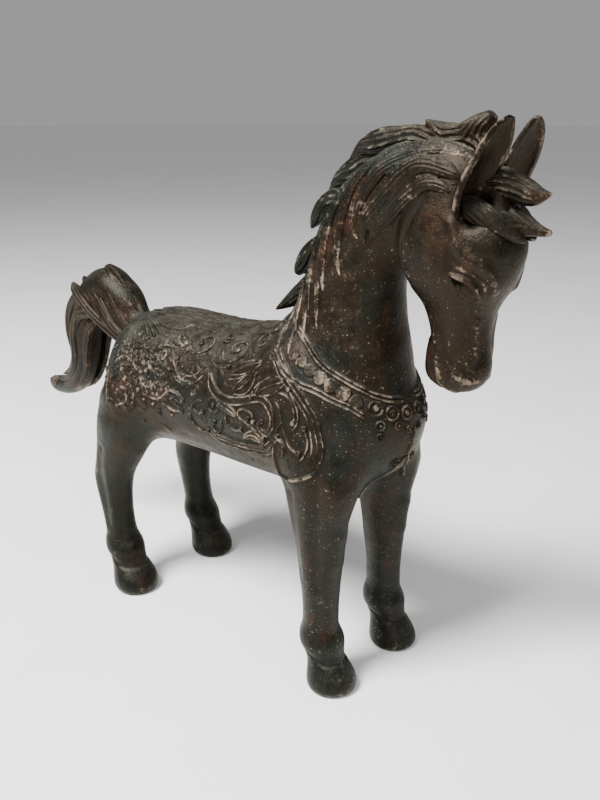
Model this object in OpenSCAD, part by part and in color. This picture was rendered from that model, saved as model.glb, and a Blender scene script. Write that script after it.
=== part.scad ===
// Bronze horse statuette, built from separate lost-wax castings.
// A hollow barrel takes the neck, the legs and the tail in fitted openings, the neck carries
// the head, and the harness, saddle-cloth scrolls and mane are relief castings laid on top.
// The horse faces +X, its right side is -Y, and its hooves stand on Z = 0.
// The outlines below are drawn for a statuette 212 mm high and scaled to the height asked for.

/* [Overall] */
// Height from the soles to the tip of the poll lock
height = 212; // [140:2:320]
// Wall of the hollow barrel and neck castings
wall = 3; // [2:0.5:4]

/* [Harness and mane] */
// Height of the scroll relief above the barrel
relief_height = 1.0; // [0.6:0.1:1.6]
// Number of bosses on the breast collar
boss_count = 17; // [9:2:21]
// Number of locks that flick off the crest of the mane
lock_count = 8; // [5:1:10]

/* [Hidden] */

drawn_height = 212;
// Moves the middle of the whole outline over the origin.
middle_shift = 16.9;

patina = "#41352c";
worn = "#7d5f4b";

torso_sides = 28;
neck_sides = 24;
head_sides = 20;
leg_sides = 16;
tail_sides = 12;
steps_between = 3;
line_steps = 2;
bead_sides = 8;
bud_sides = 6;
bud_turn = 43;
stud_sides = 8;
// Relief is let this far into the surface below it.
seat = 0.3;
// One millimetre along the flank turns this many degrees round the barrel's axis.
flank_turn = 180 / PI / 30;

// ---- Body outlines -------------------------------------------------------------------

// Barrel sections along X: [x, half-width, height above the axis, depth below it].
barrel_axis_z = 102;
barrel = [
  [-80,  3,  4,  5],
  [-77, 13, 13, 15],
  [-71, 22, 22, 24],
  [-62, 28, 26, 29],
  [-48, 31, 28, 30],
  [-32, 30, 28, 30],
  [-12, 29, 28, 30],
  [ 12, 29, 31, 30],
  [ 34, 29, 33, 29],
  [ 52, 26, 28, 26],
  [ 65, 20, 20, 19],
  [ 72, 13, 12, 12],
  [ 75,  4,  4,  4]];

// Muscles that swell the barrel: [x, degrees from the spine, rise, spread along, spread round].
muscles = [
  [ 50, 120, 7, 13, 26],
  [-60, 118, 6, 14, 28],
  [ 42,  38, 4, 17, 24]];

// All other body pieces are drawn as stations [x, y, z, tilt, half-width, up, down]:
// an oval ring round x, y, z, whose upward half points along [sin(tilt), 0, cos(tilt)].
neck = [
  [44, 0, 110, -66, 24, 28, 26],
  [46, 0, 118, -70, 24, 31, 29],
  [49, 0, 134, -73, 20, 25, 23],
  [51, 0, 150, -73, 16, 21, 18],
  [54, 0, 165, -68, 14, 19, 16],
  [61, 0, 179, -55, 13, 17, 15],
  [72, 0, 188, -30, 12, 14, 14],
  [84, 0, 190,  -5, 11, 12, 12]];
skull = [
  [ 88, 0, 201, 90,  5,  5,  5],
  [ 89, 0, 198, 90,  9, 10, 10],
  [ 91, 0, 191, 90, 12, 14, 15],
  [ 92, 0, 181, 90, 14, 18, 19],
  [ 92, 0, 170, 90, 15, 21, 22],
  [ 93, 0, 160, 90, 14, 17, 20],
  [ 94, 0, 150, 90, 11, 10, 14],
  [ 94, 0, 140, 90,  9,  9, 11],
  [ 94, 0, 131, 90,  9, 10, 12],
  [ 94, 0, 126, 90,  8,  8, 10],
  [ 94, 0, 123, 90,  4,  4,  4]];
foreleg = [
  [50, -18,  94, 90, 10, 14, 13],
  [50, -19,  84, 90, 12, 16, 15],
  [50, -20,  70, 90, 10, 12, 12],
  [50, -20,  58, 90,  9,  9,  9],
  [51, -20,  48, 90,  8,  8,  9],
  [51, -20,  36, 90,  7,  7,  7],
  [51, -20,  24, 90,  7,  7,  7],
  [52, -20,  17, 90,  8,  8,  8],
  [54, -20,  13, 90,  7,  7,  8],
  [56, -20,   7, 90,  9,  9,  9],
  [57, -20,   2, 90, 10, 10, 10],
  [57, -20,   0, 90,  9,  9,  9]];
hindleg = [
  [-60, -20,  94, 90, 11, 16, 14],
  [-60, -22,  84, 90, 13, 17, 14],
  [-63, -23,  70, 90, 11, 13, 13],
  [-68, -24,  58, 90,  9, 10, 11],
  [-70, -24,  50, 90,  8,  9, 10],
  [-69, -24,  38, 90,  7,  7,  8],
  [-67, -24,  26, 90,  7,  7,  7],
  [-65, -24,  18, 90,  8,  8,  8],
  [-62, -24,  13, 90,  8,  8,  9],
  [-59, -24,   7, 90, 10,  9, 10],
  [-58, -24,   2, 90, 10, 10, 11],
  [-58, -24,   0, 90,  9,  9, 10]];
tail_line = [
  [ -70, 0, 112, -135, 6, 6, 6],
  [ -77, 0, 119, -130, 7, 6, 7],
  [ -86, 0, 129, -135, 9, 7, 9],
  [ -98, 0, 133, -180, 9, 8, 10],
  [-109, 0, 126, -230, 9, 8, 10],
  [-116, 0, 112, -262, 8, 8, 8],
  [-119, 0,  97, -260, 7, 7, 7],
  [-125, 0,  85, -230, 6, 6, 6],
  [-136, 0,  78, -195, 5, 5, 5],
  [-148, 0,  76, -170, 4, 4, 4],
  [-156, 0,  78, -160, 1, 1, 1]];

// ---- Ornament, drawn flat on the right flank as [along X, down from the spine] ---------

border_lines = [
  [[30, 18], [36, 22], [43, 28], [49, 31], [53, 36], [55, 42], [56, 48], [57, 53], [55, 58],
   [50, 60], [43, 62], [38, 61], [36, 57], [37, 52], [39, 50], [42, 51], [42, 54], [40, 55]],
  [[28, 20], [34, 25], [41, 31], [47, 34], [51, 38], [53, 43], [54, 48], [54, 52]],
  [[36, 51], [31, 54], [24, 56], [17, 57], [11, 56]],
  [[35, 56], [28, 58], [20, 60], [11, 61], [4, 60], [2, 57]]];
scroll_lines = [
  [[-1, 32], [2, 37], [7, 40], [13, 41], [19, 39], [26, 37], [31, 37], [35, 41], [35, 46],
   [32, 49], [29, 48], [28, 45], [31, 44]],
  [[37, 33], [41, 33], [44, 35], [45, 39]],
  [[36, 36], [39, 39], [40, 43], [42, 48], [45, 51]],
  [[27, 50], [23, 48], [19, 45], [20, 42], [24, 42], [27, 45]],
  [[1, 46], [2, 43], [5, 43], [7, 45]],
  [[-5, 31], [-9, 35], [-14, 36], [-19, 34], [-21, 30]],
  [[1, 22], [4, 26], [9, 25], [13, 22], [12, 18]],
  [[19, 11], [17, 15], [18, 19], [21, 19], [22, 15], [20, 12]],
  [[-20, 20], [-17, 24], [-12, 25], [-8, 23], [-7, 19]],
  [[-10, 51], [-9, 55], [-5, 58]]];
leaf_lines = [
  [[10, 30], [15, 28], [20, 27], [25, 25]],
  [[14, 37], [18, 34], [21, 31], [23, 28]],
  [[26, 35], [30, 33], [35, 31], [40, 29]],
  [[-3, 53], [0, 50], [4, 50]]];
rump_lines = [
  [[-31, 26], [-27, 26], [-24, 29], [-21, 34], [-17, 38], [-11, 39]],
  [[-48, 32], [-43, 30], [-38, 30], [-33, 32]],
  [[-56, 38], [-51, 35], [-45, 37], [-40, 40]],
  [[-35, 36], [-30, 39], [-25, 38]],
  [[-50, 47], [-46, 49], [-47, 53], [-52, 55]],
  [[-44, 45], [-42, 49], [-44, 54]],
  [[-59, 45], [-59, 50], [-57, 54]]];

// Widths of the relief lines, from edge to middle.
border_width = 0.9;
scroll_width = 1.1;
rump_width = 1.2;
leaf_width = 3;
rib_width = 0.8;
bud_diameter = 3;

// ---- Curves and surfaces -------------------------------------------------------------

function unit(v) = v / norm(v);

// The row at a place between the rows of a table, on a smooth curve through them.
function between(rows, at) =
  let (i = min(floor(at), len(rows) - 2), f = at - i,
       a = rows[max(i - 1, 0)], b = rows[i], c = rows[i + 1],
       d = rows[min(i + 2, len(rows) - 1)])
  0.5 * (2 * b + (c - a) * f + (2 * a - 5 * b + 4 * c - d) * f * f
         + (3 * b - a - 3 * c + d) * f * f * f);

// A table with more rows worked out between each two.
function refined(rows, steps) =
  [for (k = [0 : (len(rows) - 1) * steps]) between(rows, k / steps)];

// A point of a station's ring, and the direction straight out of the skin there.
function ring_point(s, a) =
  let (rise = sin(a) * (sin(a) > 0 ? s[5] : s[6]))
  [s[0] + rise * sin(s[3]), s[1] + s[4] * cos(a), s[2] + rise * cos(s[3])];
function ring_outward(s, a) =
  let (rise = sin(a) / (sin(a) > 0 ? s[5] : s[6]))
  unit([rise * sin(s[3]), cos(a) / s[4], rise * cos(s[3])]);
function ring(s, sides) = [for (k = [0 : sides - 1]) ring_point(s, 360 * k / sides)];
function thinned(s, by) = [s[0], s[1], s[2], s[3], s[4] - by, s[5] - by, s[6] - by];

// How far the muscles lift the barrel at x and an angle from the spine.
function swell(x, angle) =
  let (folded = abs(angle > 180 ? angle - 360 : angle))
  [for (m = muscles) m[2] * exp(-pow((x - m[0]) / m[3], 2) - pow((folded - m[1]) / m[4], 2))]
  * [for (m = muscles) 1];

// From the barrel's axis to its surface: an oval section with the muscles on it, which fade
// where the barrel narrows to less than this half-width.
full_width = 20;
function reach(s, angle) =
  1 / norm([sin(angle) / s[1], cos(angle) / (cos(angle) > 0 ? s[2] : s[3])])
  + swell(s[0], angle) * min(1, s[1] / full_width);
function barrel_ring(s) =
  [for (k = [0 : torso_sides - 1])
    let (angle = 360 * k / torso_sides, r = reach(s, angle))
    [s[0], -r * sin(angle), barrel_axis_z + r * cos(angle)]];

barrel_sections = refined(barrel, steps_between);
function section_at(x) =
  [x, for (column = [1 : 3]) lookup(x, [for (s = barrel_sections) [s[0], s[column]]])];

// A point and outward direction on the flank, for a place [along, down].
function flank_outward(p) = [0, -sin(p[1] * flank_turn), cos(p[1] * flank_turn)];
function flank_point(p) =
  [p[0], 0, barrel_axis_z] + reach(section_at(p[0]), p[1] * flank_turn) * flank_outward(p);

// The same on the neck, for a place [station, angle round the ring].
function neck_point(p) = ring_point(between(neck, p[0]), p[1]);
function neck_outward(p) = ring_outward(between(neck, p[0]), p[1]);

// ---- Solids --------------------------------------------------------------------------

function middle(points) =
  [for (axis = [0 : 2]) [for (p = points) p[axis]] * [for (p = points) 1 / len(points)]];

// A closed skin over rings of equal length, fanned to a middle point at each end.
module skin(rings) {
  n = len(rings[0]);
  m = len(rings);
  points = concat([for (r = rings) each r], [middle(rings[0]), middle(rings[m - 1])]);
  walls = [for (i = [0 : m - 2], j = [0 : n - 1])
    let (k = (j + 1) % n, low = i * n, high = low + n)
    each [[low + j, high + j, high + k], [low + j, high + k, low + k]]];
  ends = [for (j = [0 : n - 1])
    let (k = (j + 1) % n, last = (m - 1) * n)
    each [[n * m, j, k], [n * m + 1, last + k, last + j]]];
  polyhedron(points = points, faces = concat(walls, ends));
}

module loft(rows, sides, steps = steps_between) {
  skin([for (s = refined(rows, steps)) ring(s, sides)]);
}

// A convex bay between each two rings, for the cores that hollow a casting.
module bays(rings) {
  for (i = [0 : len(rings) - 2]) {
    hull() skin([rings[i], rings[i + 1]]);
  }
}

// A string of oval beads [x, y, z, x radius, y radius, z radius], hulled one to the next.
module bead_chain(beads) {
  for (i = [0 : len(beads) - 2]) {
    hull() {
      bead(beads[i]);
      bead(beads[i + 1]);
    }
  }
}

module bead(b) {
  translate([b[0], b[1], b[2]]) scale([b[3], b[4], b[5]]) sphere(r = 1, $fn = bead_sides);
}

// A ridge of three-cornered section laid along points, seated a little way into the surface.
module ridge(points, outwards, widths) {
  last = len(points) - 1;
  skin([for (i = [0 : last])
    let (out = outwards[i], w = widths[i],
         along = unit(points[min(i + 1, last)] - points[max(i - 1, 0)]),
         side = unit(cross(out, along)))
    [points[i] + side * w - out * seat, points[i] + out * relief_height,
     points[i] - side * w - out * seat]]);
}

function line_widths(n, w) = [for (i = [0 : n - 1]) i == 0 || i == n - 1 ? w / 2 : w];
function leaf_widths(n, w) = [for (i = [0 : n - 1]) w * pow(sin(180 * (i + 0.4) / n), 0.7)];

module flank_line(path, w) {
  places = refined(path, line_steps);
  ridge([for (p = places) flank_point(p)], [for (p = places) flank_outward(p)],
        line_widths(len(places), w));
}

module flank_leaf(path, w) {
  places = refined(path, line_steps);
  ridge([for (p = places) flank_point(p)], [for (p = places) flank_outward(p)],
        leaf_widths(len(places), w));
}

module neck_line(path, w) {
  places = refined(path, line_steps);
  ridge([for (p = places) neck_point(p)], [for (p = places) neck_outward(p)],
        line_widths(len(places), w));
}

// A six-sided bud, narrower at its top, standing on the flank. It is turned a little,
// so that no line runs out along one of its corners.
module bud(place, d) {
  translate(flank_point(place)) rotate([place[1] * flank_turn, 0, 0]) rotate(bud_turn) hull() {
    translate([0, 0, -seat]) cylinder(d = d, h = seat, $fn = bud_sides);
    translate([0, 0, relief_height]) cylinder(d = d / 2, h = seat, $fn = bud_sides);
  }
}

// Both ends of every line close in a bud.
module budded_lines(paths, w, d) {
  for (path = paths) {
    flank_line(path, w);
    bud(path[0], d);
    bud(path[len(path) - 1], d);
  }
}

module to_size() {
  scale(height / drawn_height) translate([middle_shift, 0, 0]) children();
}

module left_of() {
  mirror([0, 1, 0]) children();
}

// ---- Castings ------------------------------------------------------------------------

module legs() {
  loft(foreleg, leg_sides, 2);
  loft(hindleg, leg_sides, 2);
}

module barrel_body() {
  skin([for (s = barrel_sections) barrel_ring(s)]);
}

// The hollow of the barrel, where it is wide enough to take a core.
module barrel_core() {
  hollow = [for (s = barrel) if (s[1] > wall + 8) s];
  bays([for (s = hollow) ring([s[0], 0, barrel_axis_z, 0, s[1] - wall, s[2] - wall, s[3] - wall],
                              neck_sides)]);
}

module barrel_shell() {
  color(patina) to_size() difference() {
    barrel_body();
    barrel_core();
    loft(neck, neck_sides);
    loft(tail_line, tail_sides, 2);
    legs();
    left_of() legs();
  }
}

// The hollow of the neck, which opens downwards into the barrel.
module neck_core() {
  rows = [for (s = neck) thinned(s, wall)];
  way_out = rows[0] + [-3, 0, -12, 0, 0, 0, 0];
  bays([for (s = concat([way_out], refined(rows, 2))) ring(s, leg_sides)]);
}

module neck_shell() {
  color(patina) to_size() difference() {
    loft(neck, neck_sides);
    neck_core();
    loft(skull, head_sides, 2);
  }
}

// Beads up the back of the ear, and those that scoop it out in front.
ear_line = [
  [100, -9, 180, 4, 4, 4], [101, -10, 184, 6, 5, 5], [103, -11, 191, 7, 6, 5],
  [106, -11, 198, 6, 5, 5], [109, -10, 205, 3, 4, 4], [111, -9, 209, 1, 1, 1]];
ear_cup = [
  [108, -13, 187, 1, 2, 2], [110, -15, 192, 3, 3, 4], [111, -14, 198, 3, 3, 4],
  [112, -12, 203, 1, 2, 3]];

module ear_solid() {
  difference() {
    bead_chain(ear_line);
    bead_chain(ear_cup);
  }
}

module ear_right() {
  color(patina) to_size() ear_solid();
}

module ear_left() {
  color(patina) to_size() left_of() ear_solid();
}

// Brow ridge over the eye, then the lids of the almond eye.
brow_line = [
  [97, -13, 164, 2, 2, 2], [102, -12, 164, 2, 2, 2], [106, -8, 161, 2, 2, 2],
  [107, -6, 157, 1, 1, 1]];
eye_line = [
  [98, -12, 158, 1, 1, 1], [101, -11, 157, 2, 2, 2], [104, -9, 155, 1, 1, 1]];
lip_line = [
  [92, -8, 128, 1, 1, 1], [97, -8, 129, 1.5, 1.5, 1.5], [101, -6, 131, 1, 1, 1]];

module face_side() {
  bead_chain(brow_line);
  bead_chain(eye_line);
  bead_chain(lip_line);
}

module head() {
  color(patina) to_size() difference() {
    union() {
      loft(skull, head_sides, 2);
      face_side();
      left_of() face_side();
    }
    ear_solid();
    left_of() ear_solid();
  }
}

module foreleg_right() {
  color(patina) to_size() loft(foreleg, leg_sides, 2);
}

module foreleg_left() {
  color(patina) to_size() left_of() loft(foreleg, leg_sides, 2);
}

module hindleg_right() {
  color(patina) to_size() loft(hindleg, leg_sides, 2);
}

module hindleg_left() {
  color(patina) to_size() left_of() loft(hindleg, leg_sides, 2);
}

module tail() {
  color(patina) to_size() loft(tail_line, tail_sides, 3);
}

// ---- Mane ----------------------------------------------------------------------------

mane_from = 1.1;
mane_to = 6.9;
mane_half_width = 5;
mane_rise = 7;
// The top middle of the neck at a station, and the way it faces.
function crest(at) = neck_point([at, 90]);
function crest_out(at) = neck_outward([at, 90]);

module mane_ridge() {
  rows = 14;
  skin([for (k = [0 : rows])
    let (f = k / rows, at = mane_from + (mane_to - mane_from) * f, s = between(neck, at),
         c = crest(at), fade = 0.4 + 0.6 * sin(180 * min(0.5, f * 2)))
    ring([c[0], 0, c[2], s[3], mane_half_width, mane_rise * fade, 4], 10)]);
}

// A pointed lock: it leaves the crest, runs back down the neck and flicks outwards.
module lock(at, side) {
  root = crest(at);
  out = crest_out(at);
  back = unit(crest(at - 0.3) - crest(at));
  mid = root + out * 4 + back * 4;
  tip = root + out * 9 + back * 10;
  bead_chain([
    [root[0], side, root[2], 4, 3, 4], [mid[0], side * 1.5, mid[2], 3, 3, 3],
    [tip[0], side * 1.5, tip[2], 0.6, 0.8, 0.6]]);
}

module mane_crest() {
  color(patina) to_size() difference() {
    union() {
      mane_ridge();
      for (k = [0 : lock_count - 1]) {
        lock(mane_from + 0.3 + (mane_to - mane_from - 0.3) * k / (lock_count - 1),
             k % 2 == 0 ? -1 : 1);
      }
      poll_lock();
    }
    loft(neck, neck_sides);
    loft(skull, head_sides, 2);
  }
}

// The lock that stands between the ears.
module poll_lock() {
  bead_chain([
    [84, 0, 201, 4, 4, 4], [93, 0, 204, 5, 4, 3], [98, 0, 208, 3, 3, 2],
    [100, 0, 211.4, 0.6, 0.6, 0.6]]);
}

// Wavy strands combed down the side of the neck, each leaving the crest nearer the withers.
strand_count = 9;
strand_width = 1.6;
module mane_strands() {
  for (k = [0 : strand_count - 1]) {
    top = 6.2 - 0.55 * k;
    wave = 4 * sin(90 * k);
    tip = 148 + 10 * sin(140 * k);
    neck_line([[top, 102], [top - 0.35, 118], [top - 0.9, 132 + wave], [top - 1.2, tip]],
              strand_width);
  }
}

module mane_strands_right() {
  color(patina) to_size() mane_strands();
}

module mane_strands_left() {
  color(patina) to_size() left_of() mane_strands();
}

module forelock() {
  color(patina) to_size() difference() {
    union() {
      bead_chain([
        [97, 0, 200, 5, 5, 4], [105, 0, 196, 6, 6, 5], [112, 0, 191, 5, 5, 4],
        [117, 0, 188, 2.5, 3, 2.5], [120, 0, 188, 0.6, 0.8, 0.6]]);
      bead_chain([
        [102, 0, 188, 5, 6, 5], [109, 0, 183, 5, 6, 5], [114, 0, 178, 4, 5, 4],
        [119, 0, 175, 2, 2, 2], [122, 0, 176, 0.6, 0.6, 0.6]]);
    }
    loft(skull, head_sides, 2);
  }
}

// ---- Harness and saddle-cloth relief ---------------------------------------------------

collar_from = 142;
collar_front = 270;
collar_spread = 0.24;
// The collar runs low across the chest and climbs to the withers on both sides.
function collar_at(a) = 1.2 + 0.5 * pow(abs(collar_front - a) / 115, 1.5);

collar_steps = 10;
collar_width = 0.9;
module collar_rim(offset) {
  neck_line([for (k = [0 : collar_steps])
    let (a = collar_from + 2 * (collar_front - collar_from) * k / collar_steps)
    [collar_at(a) + offset, a]], collar_width);
}

module neck_stud(place, d) {
  p = neck_point(place);
  out = neck_outward(place);
  turn = atan2(out[1], out[0]);
  lean = acos(out[2]);
  translate(p) rotate([0, lean, turn]) hull() {
    translate([0, 0, -seat]) cylinder(d = d, h = seat, $fn = stud_sides);
    translate([0, 0, relief_height]) cylinder(d = d * 0.7, h = 0.2, $fn = stud_sides);
  }
}

module breast_collar() {
  color(worn) to_size() {
    collar_rim(collar_spread);
    collar_rim(-collar_spread);
  }
}

boss_diameter = 5.4;
boss_from = 166;
module collar_bosses() {
  color(worn) to_size() for (k = [0 : boss_count - 1]) {
    a = boss_from + 2 * (collar_front - boss_from) * k / (boss_count - 1);
    neck_stud([collar_at(a), a], boss_diameter);
  }
}

// Small drops hanging below the collar at the front of the chest.
drop_angles = [234, 252, 288, 306];
module collar_drops() {
  color(worn) to_size() for (a = drop_angles, row = [0 : 1]) {
    neck_stud([0.93 - 0.2 * row, a + row * 2], 4 - row);
  }
}

module saddle_border() {
  budded_lines(border_lines, border_width, bud_diameter - 1);
}

module saddle_border_right() {
  color(worn) to_size() saddle_border();
}

module saddle_border_left() {
  color(worn) to_size() left_of() saddle_border();
}

module saddle_scrolls() {
  budded_lines(scroll_lines, scroll_width, bud_diameter);
}

module saddle_scrolls_right() {
  color(worn) to_size() saddle_scrolls();
}

module saddle_scrolls_left() {
  color(worn) to_size() left_of() saddle_scrolls();
}

module saddle_leaves() {
  for (path = leaf_lines) {
    flank_leaf(path, leaf_width);
  }
}

module saddle_leaves_right() {
  color(worn) to_size() saddle_leaves();
}

module saddle_leaves_left() {
  color(worn) to_size() left_of() saddle_leaves();
}

module rump_scrolls() {
  budded_lines(rump_lines, rump_width, bud_diameter);
}

module rump_scrolls_right() {
  color(worn) to_size() rump_scrolls();
}

module rump_scrolls_left() {
  color(worn) to_size() left_of() rump_scrolls();
}

// A fan of ribs spread forwards from the root of the tail.
fan_ribs = 6;
module croup_fan() {
  for (k = [0 : fan_ribs - 1]) {
    turn = 12 + 10 * k;
    near = [-62 + 8 * cos(turn), 11 + 8 * sin(turn)];
    far = [-62 + (30 - 2 * k) * cos(turn), 11 + (26 - k) * sin(turn)];
    flank_line([near, (near + far) / 2 + [0, 0.6], far], rib_width);
    bud(far, bud_diameter);
  }
}

module croup_fan_right() {
  color(worn) to_size() croup_fan();
}

module croup_fan_left() {
  color(worn) to_size() left_of() croup_fan();
}

barrel_shell();
neck_shell();
head();
ear_right();
ear_left();
forelock();
mane_crest();
mane_strands_right();
mane_strands_left();
foreleg_right();
foreleg_left();
hindleg_right();
hindleg_left();
tail();
breast_collar();
collar_bosses();
collar_drops();
saddle_border_right();
saddle_border_left();
saddle_scrolls_right();
saddle_scrolls_left();
saddle_leaves_right();
saddle_leaves_left();
rump_scrolls_right();
rump_scrolls_left();
croup_fan_right();
croup_fan_left();
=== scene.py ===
"""Looks of the bronze horse: one chased skin over the castings, combed hair, relief and patina.

Shapes are worked out in millimetres of the part's drawing, whose zero lies SHIFT ahead of the
frame's, and meshes are written in the frame, in metres. The horse faces +X, its right is -Y.
"""
import math

import bpy
import numpy as np
import openvdb as vdb
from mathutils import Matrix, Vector
from mathutils.bvhtree import BVHTree


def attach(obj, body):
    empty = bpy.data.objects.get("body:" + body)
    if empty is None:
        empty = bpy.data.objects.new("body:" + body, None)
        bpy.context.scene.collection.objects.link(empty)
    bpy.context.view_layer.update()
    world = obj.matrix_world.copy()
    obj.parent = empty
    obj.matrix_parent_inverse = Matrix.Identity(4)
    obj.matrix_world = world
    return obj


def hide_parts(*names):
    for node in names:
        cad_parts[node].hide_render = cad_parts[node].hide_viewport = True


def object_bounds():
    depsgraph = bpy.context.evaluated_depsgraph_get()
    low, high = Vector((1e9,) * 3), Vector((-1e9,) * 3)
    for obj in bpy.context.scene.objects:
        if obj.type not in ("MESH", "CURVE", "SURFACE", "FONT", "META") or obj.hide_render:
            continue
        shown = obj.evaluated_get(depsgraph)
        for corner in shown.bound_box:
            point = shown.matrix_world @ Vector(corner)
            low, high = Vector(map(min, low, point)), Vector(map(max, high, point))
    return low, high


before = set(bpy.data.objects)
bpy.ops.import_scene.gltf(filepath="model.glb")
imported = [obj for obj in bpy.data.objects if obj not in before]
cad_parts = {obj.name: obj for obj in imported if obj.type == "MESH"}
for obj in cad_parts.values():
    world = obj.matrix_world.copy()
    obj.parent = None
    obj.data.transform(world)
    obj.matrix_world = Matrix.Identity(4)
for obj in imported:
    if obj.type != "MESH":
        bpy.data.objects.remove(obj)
cad_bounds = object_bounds()

MM = 0.001
SHIFT = np.array([16.9, 0, 0])
# Shapes are drawn on the right side; Y is multiplied by this to bring them to each side.
SIDES = {"right": 1, "left": -1}
# The CAD's corners in the drawing. No piece goes past them.
BOX = [np.array(corner) / MM - SHIFT for corner in cad_bounds]
dice = np.random.default_rng(7)

# ---- Curves ----

SAMPLES_PER_ROW = 24
FEWEST_PLACES = 4
# Lengths are never divided by less than this.
TINY = 1e-6


def between(rows, at):
    """Rows at places between the rows of a table, on a smooth curve through them."""
    rows = np.asarray(rows, float)
    last = len(rows) - 1
    i = np.clip(np.floor(at).astype(int), 0, last - 1)
    f = (at - i)[:, None]
    a, b = rows[np.maximum(i - 1, 0)], rows[i]
    c, d = rows[i + 1], rows[np.minimum(i + 2, last)]
    bend = 2 * a - 5 * b + 4 * c - d + f * (3 * (b - c) + d - a)
    return b + 0.5 * f * (c - a + f * bend)


def along(rows, count=None, step=None, axes=3):
    """Rows evenly spaced on a smooth curve through rows, by the length of their first columns."""
    fine = between(rows, np.linspace(0, len(rows) - 1, SAMPLES_PER_ROW * len(rows)))
    moves = np.diff(fine[:, :axes], axis=0, prepend=fine[:1, :axes])
    length = np.cumsum(np.linalg.norm(moves, axis=1))
    count = count or max(int(length[-1] / step) + 2, FEWEST_PLACES)
    at = np.linspace(0, length[-1], count)
    return np.stack([np.interp(at, length, column) for column in fine.T], 1)


def unit(v):
    return v / np.maximum(np.linalg.norm(v, axis=-1, keepdims=True), TINY)


def evened(rows, reach=4):
    """Each row averaged with its neighbours, up to reach rows away."""
    kernel = np.ones(2 * reach + 1) / (2 * reach + 1)
    wide = np.pad(rows, ((reach, reach), (0, 0)), mode="edge")
    return np.stack([np.convolve(column, kernel, "valid") for column in wide.T], 1)


# ---- Fields: distances in mm on a grid of voxels ----

# Shares of a voxel: between beads on a line, and to each side of a point whose slope is taken.
BEAD_STEP, SLOPE_STEP = 0.8, 0.7
BEAD_REACH = 4.0
LAYING_ROUNDS = 4


def lengthwise(values, axis):
    """A row of numbers shaped to lie along one axis of a field."""
    shape = [1, 1, 1]
    shape[axis] = -1
    return values.astype(np.float32).reshape(shape)


class Field:
    """A box of the drawing cut into voxels."""

    def __init__(self, low, high, voxel):
        self.voxel = voxel
        self.first = np.floor(np.array(low) / voxel).astype(int)
        self.count = np.ceil(np.array(high) / voxel).astype(int) - self.first + 1
        self.transform = vdb.createLinearTransform(voxelSize=voxel)

    def axis(self, k):
        return lengthwise((self.first[k] + np.arange(self.count[k])) * self.voxel, k)

    def corner(self):
        return tuple(int(v) for v in self.first)

    def of_mesh(self, points, triangles, reach):
        """Distances to closed meshes, which may overlap, cut off at reach."""
        grid = vdb.FloatGrid.createLevelSetFromPolygons(
            points.astype(np.float32), triangles=triangles.astype(np.uint32),
            transform=self.transform, halfWidth=reach / self.voxel)
        out = np.empty(self.count, np.float32)
        grid.copyToArray(out, ijk=self.corner())
        return out

    def of_beads(self, rows):
        """Distances, up to BEAD_REACH, to balls [x, y, z, radius] strung along a smooth curve."""
        out = np.full(self.count, BEAD_REACH, np.float32)
        for bead in along(rows, step=BEAD_STEP * self.voxel):
            wide = bead[3] + BEAD_REACH
            low = np.floor((bead[:3] - wide) / self.voxel).astype(int) - self.first
            high = np.ceil((bead[:3] + wide) / self.voxel).astype(int) - self.first + 1
            low, high = np.clip(low, 0, self.count), np.clip(high, 0, self.count)
            part = tuple(slice(a, b) for a, b in zip(low, high))
            x, y, z = [(np.arange(a, b) + first) * self.voxel - middle
                       for a, b, first, middle in zip(low, high, self.first, bead[:3])]
            far = np.sqrt(x[:, None, None] ** 2 + y[None, :, None] ** 2 + z[None, None, :] ** 2)
            out[part] = np.minimum(out[part], far - bead[3])
        return out

    def of_egg(self, middle, radii, lean):
        """Distances to an ellipsoid, leant by degrees about Y."""
        x, y, z = [self.axis(k) - middle[k] for k in range(3)]
        c, s = math.cos(math.radians(lean)), math.sin(math.radians(lean))
        parts = c * x - s * z, y, s * x + c * z
        inner = np.sqrt(sum((part / r) ** 2 for part, r in zip(parts, radii)))
        slope = np.sqrt(sum((part / r ** 2) ** 2 for part, r in zip(parts, radii)))
        return inner * (inner - 1) / np.maximum(slope, TINY)

    def skin(self, d):
        """(points, quads) of the surface where d is zero."""
        grid = vdb.FloatGrid(float(d.max()) + 1)
        grid.transform = self.transform
        grid.copyFromArray(np.ascontiguousarray(d, np.float32), ijk=self.corner())
        points, _, quads = grid.convertToPolygons()
        return points.astype(np.float64), quads.astype(np.int64)

    def at(self, d, points):
        """Values of d at points, mixed between the eight voxels round each."""
        place = points / self.voxel - self.first
        low = np.clip(np.floor(place).astype(int), 0, np.array(d.shape) - 2)
        f = np.clip(place - low, 0, 1)
        total = 0
        for corner in np.ndindex(2, 2, 2):
            i = low + corner
            weight = np.prod(np.where(corner, f, 1 - f), axis=1)
            total = total + d[i[:, 0], i[:, 1], i[:, 2]] * weight
        return total

    def outward(self, d, points):
        """Unit slope of d at points."""
        steps = np.eye(3) * (SLOPE_STEP * self.voxel)
        return unit(np.stack([self.at(d, points + s) - self.at(d, points - s) for s in steps], 1))

    def resampled(self, d, other):
        """d on another field's voxels, on smooth cubic curves."""
        for axis in range(3):
            place = ((other.first[axis] + np.arange(other.count[axis])) * other.voxel
                     / self.voxel - self.first[axis])
            low = np.floor(place).astype(int)
            f = (place - low).astype(np.float32)
            weights = (((-f + 2) * f - 1) * f / 2, ((3 * f - 5) * f * f + 2) / 2,
                       ((-3 * f + 4) * f + 1) * f / 2, (f - 1) * f * f / 2)
            total = 0
            for k, weight in enumerate(weights):
                index = np.clip(low + k - 1, 0, d.shape[axis] - 1)
                total = total + np.take(d, index, axis) * lengthwise(weight, axis)
            d = total
        return d


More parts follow.
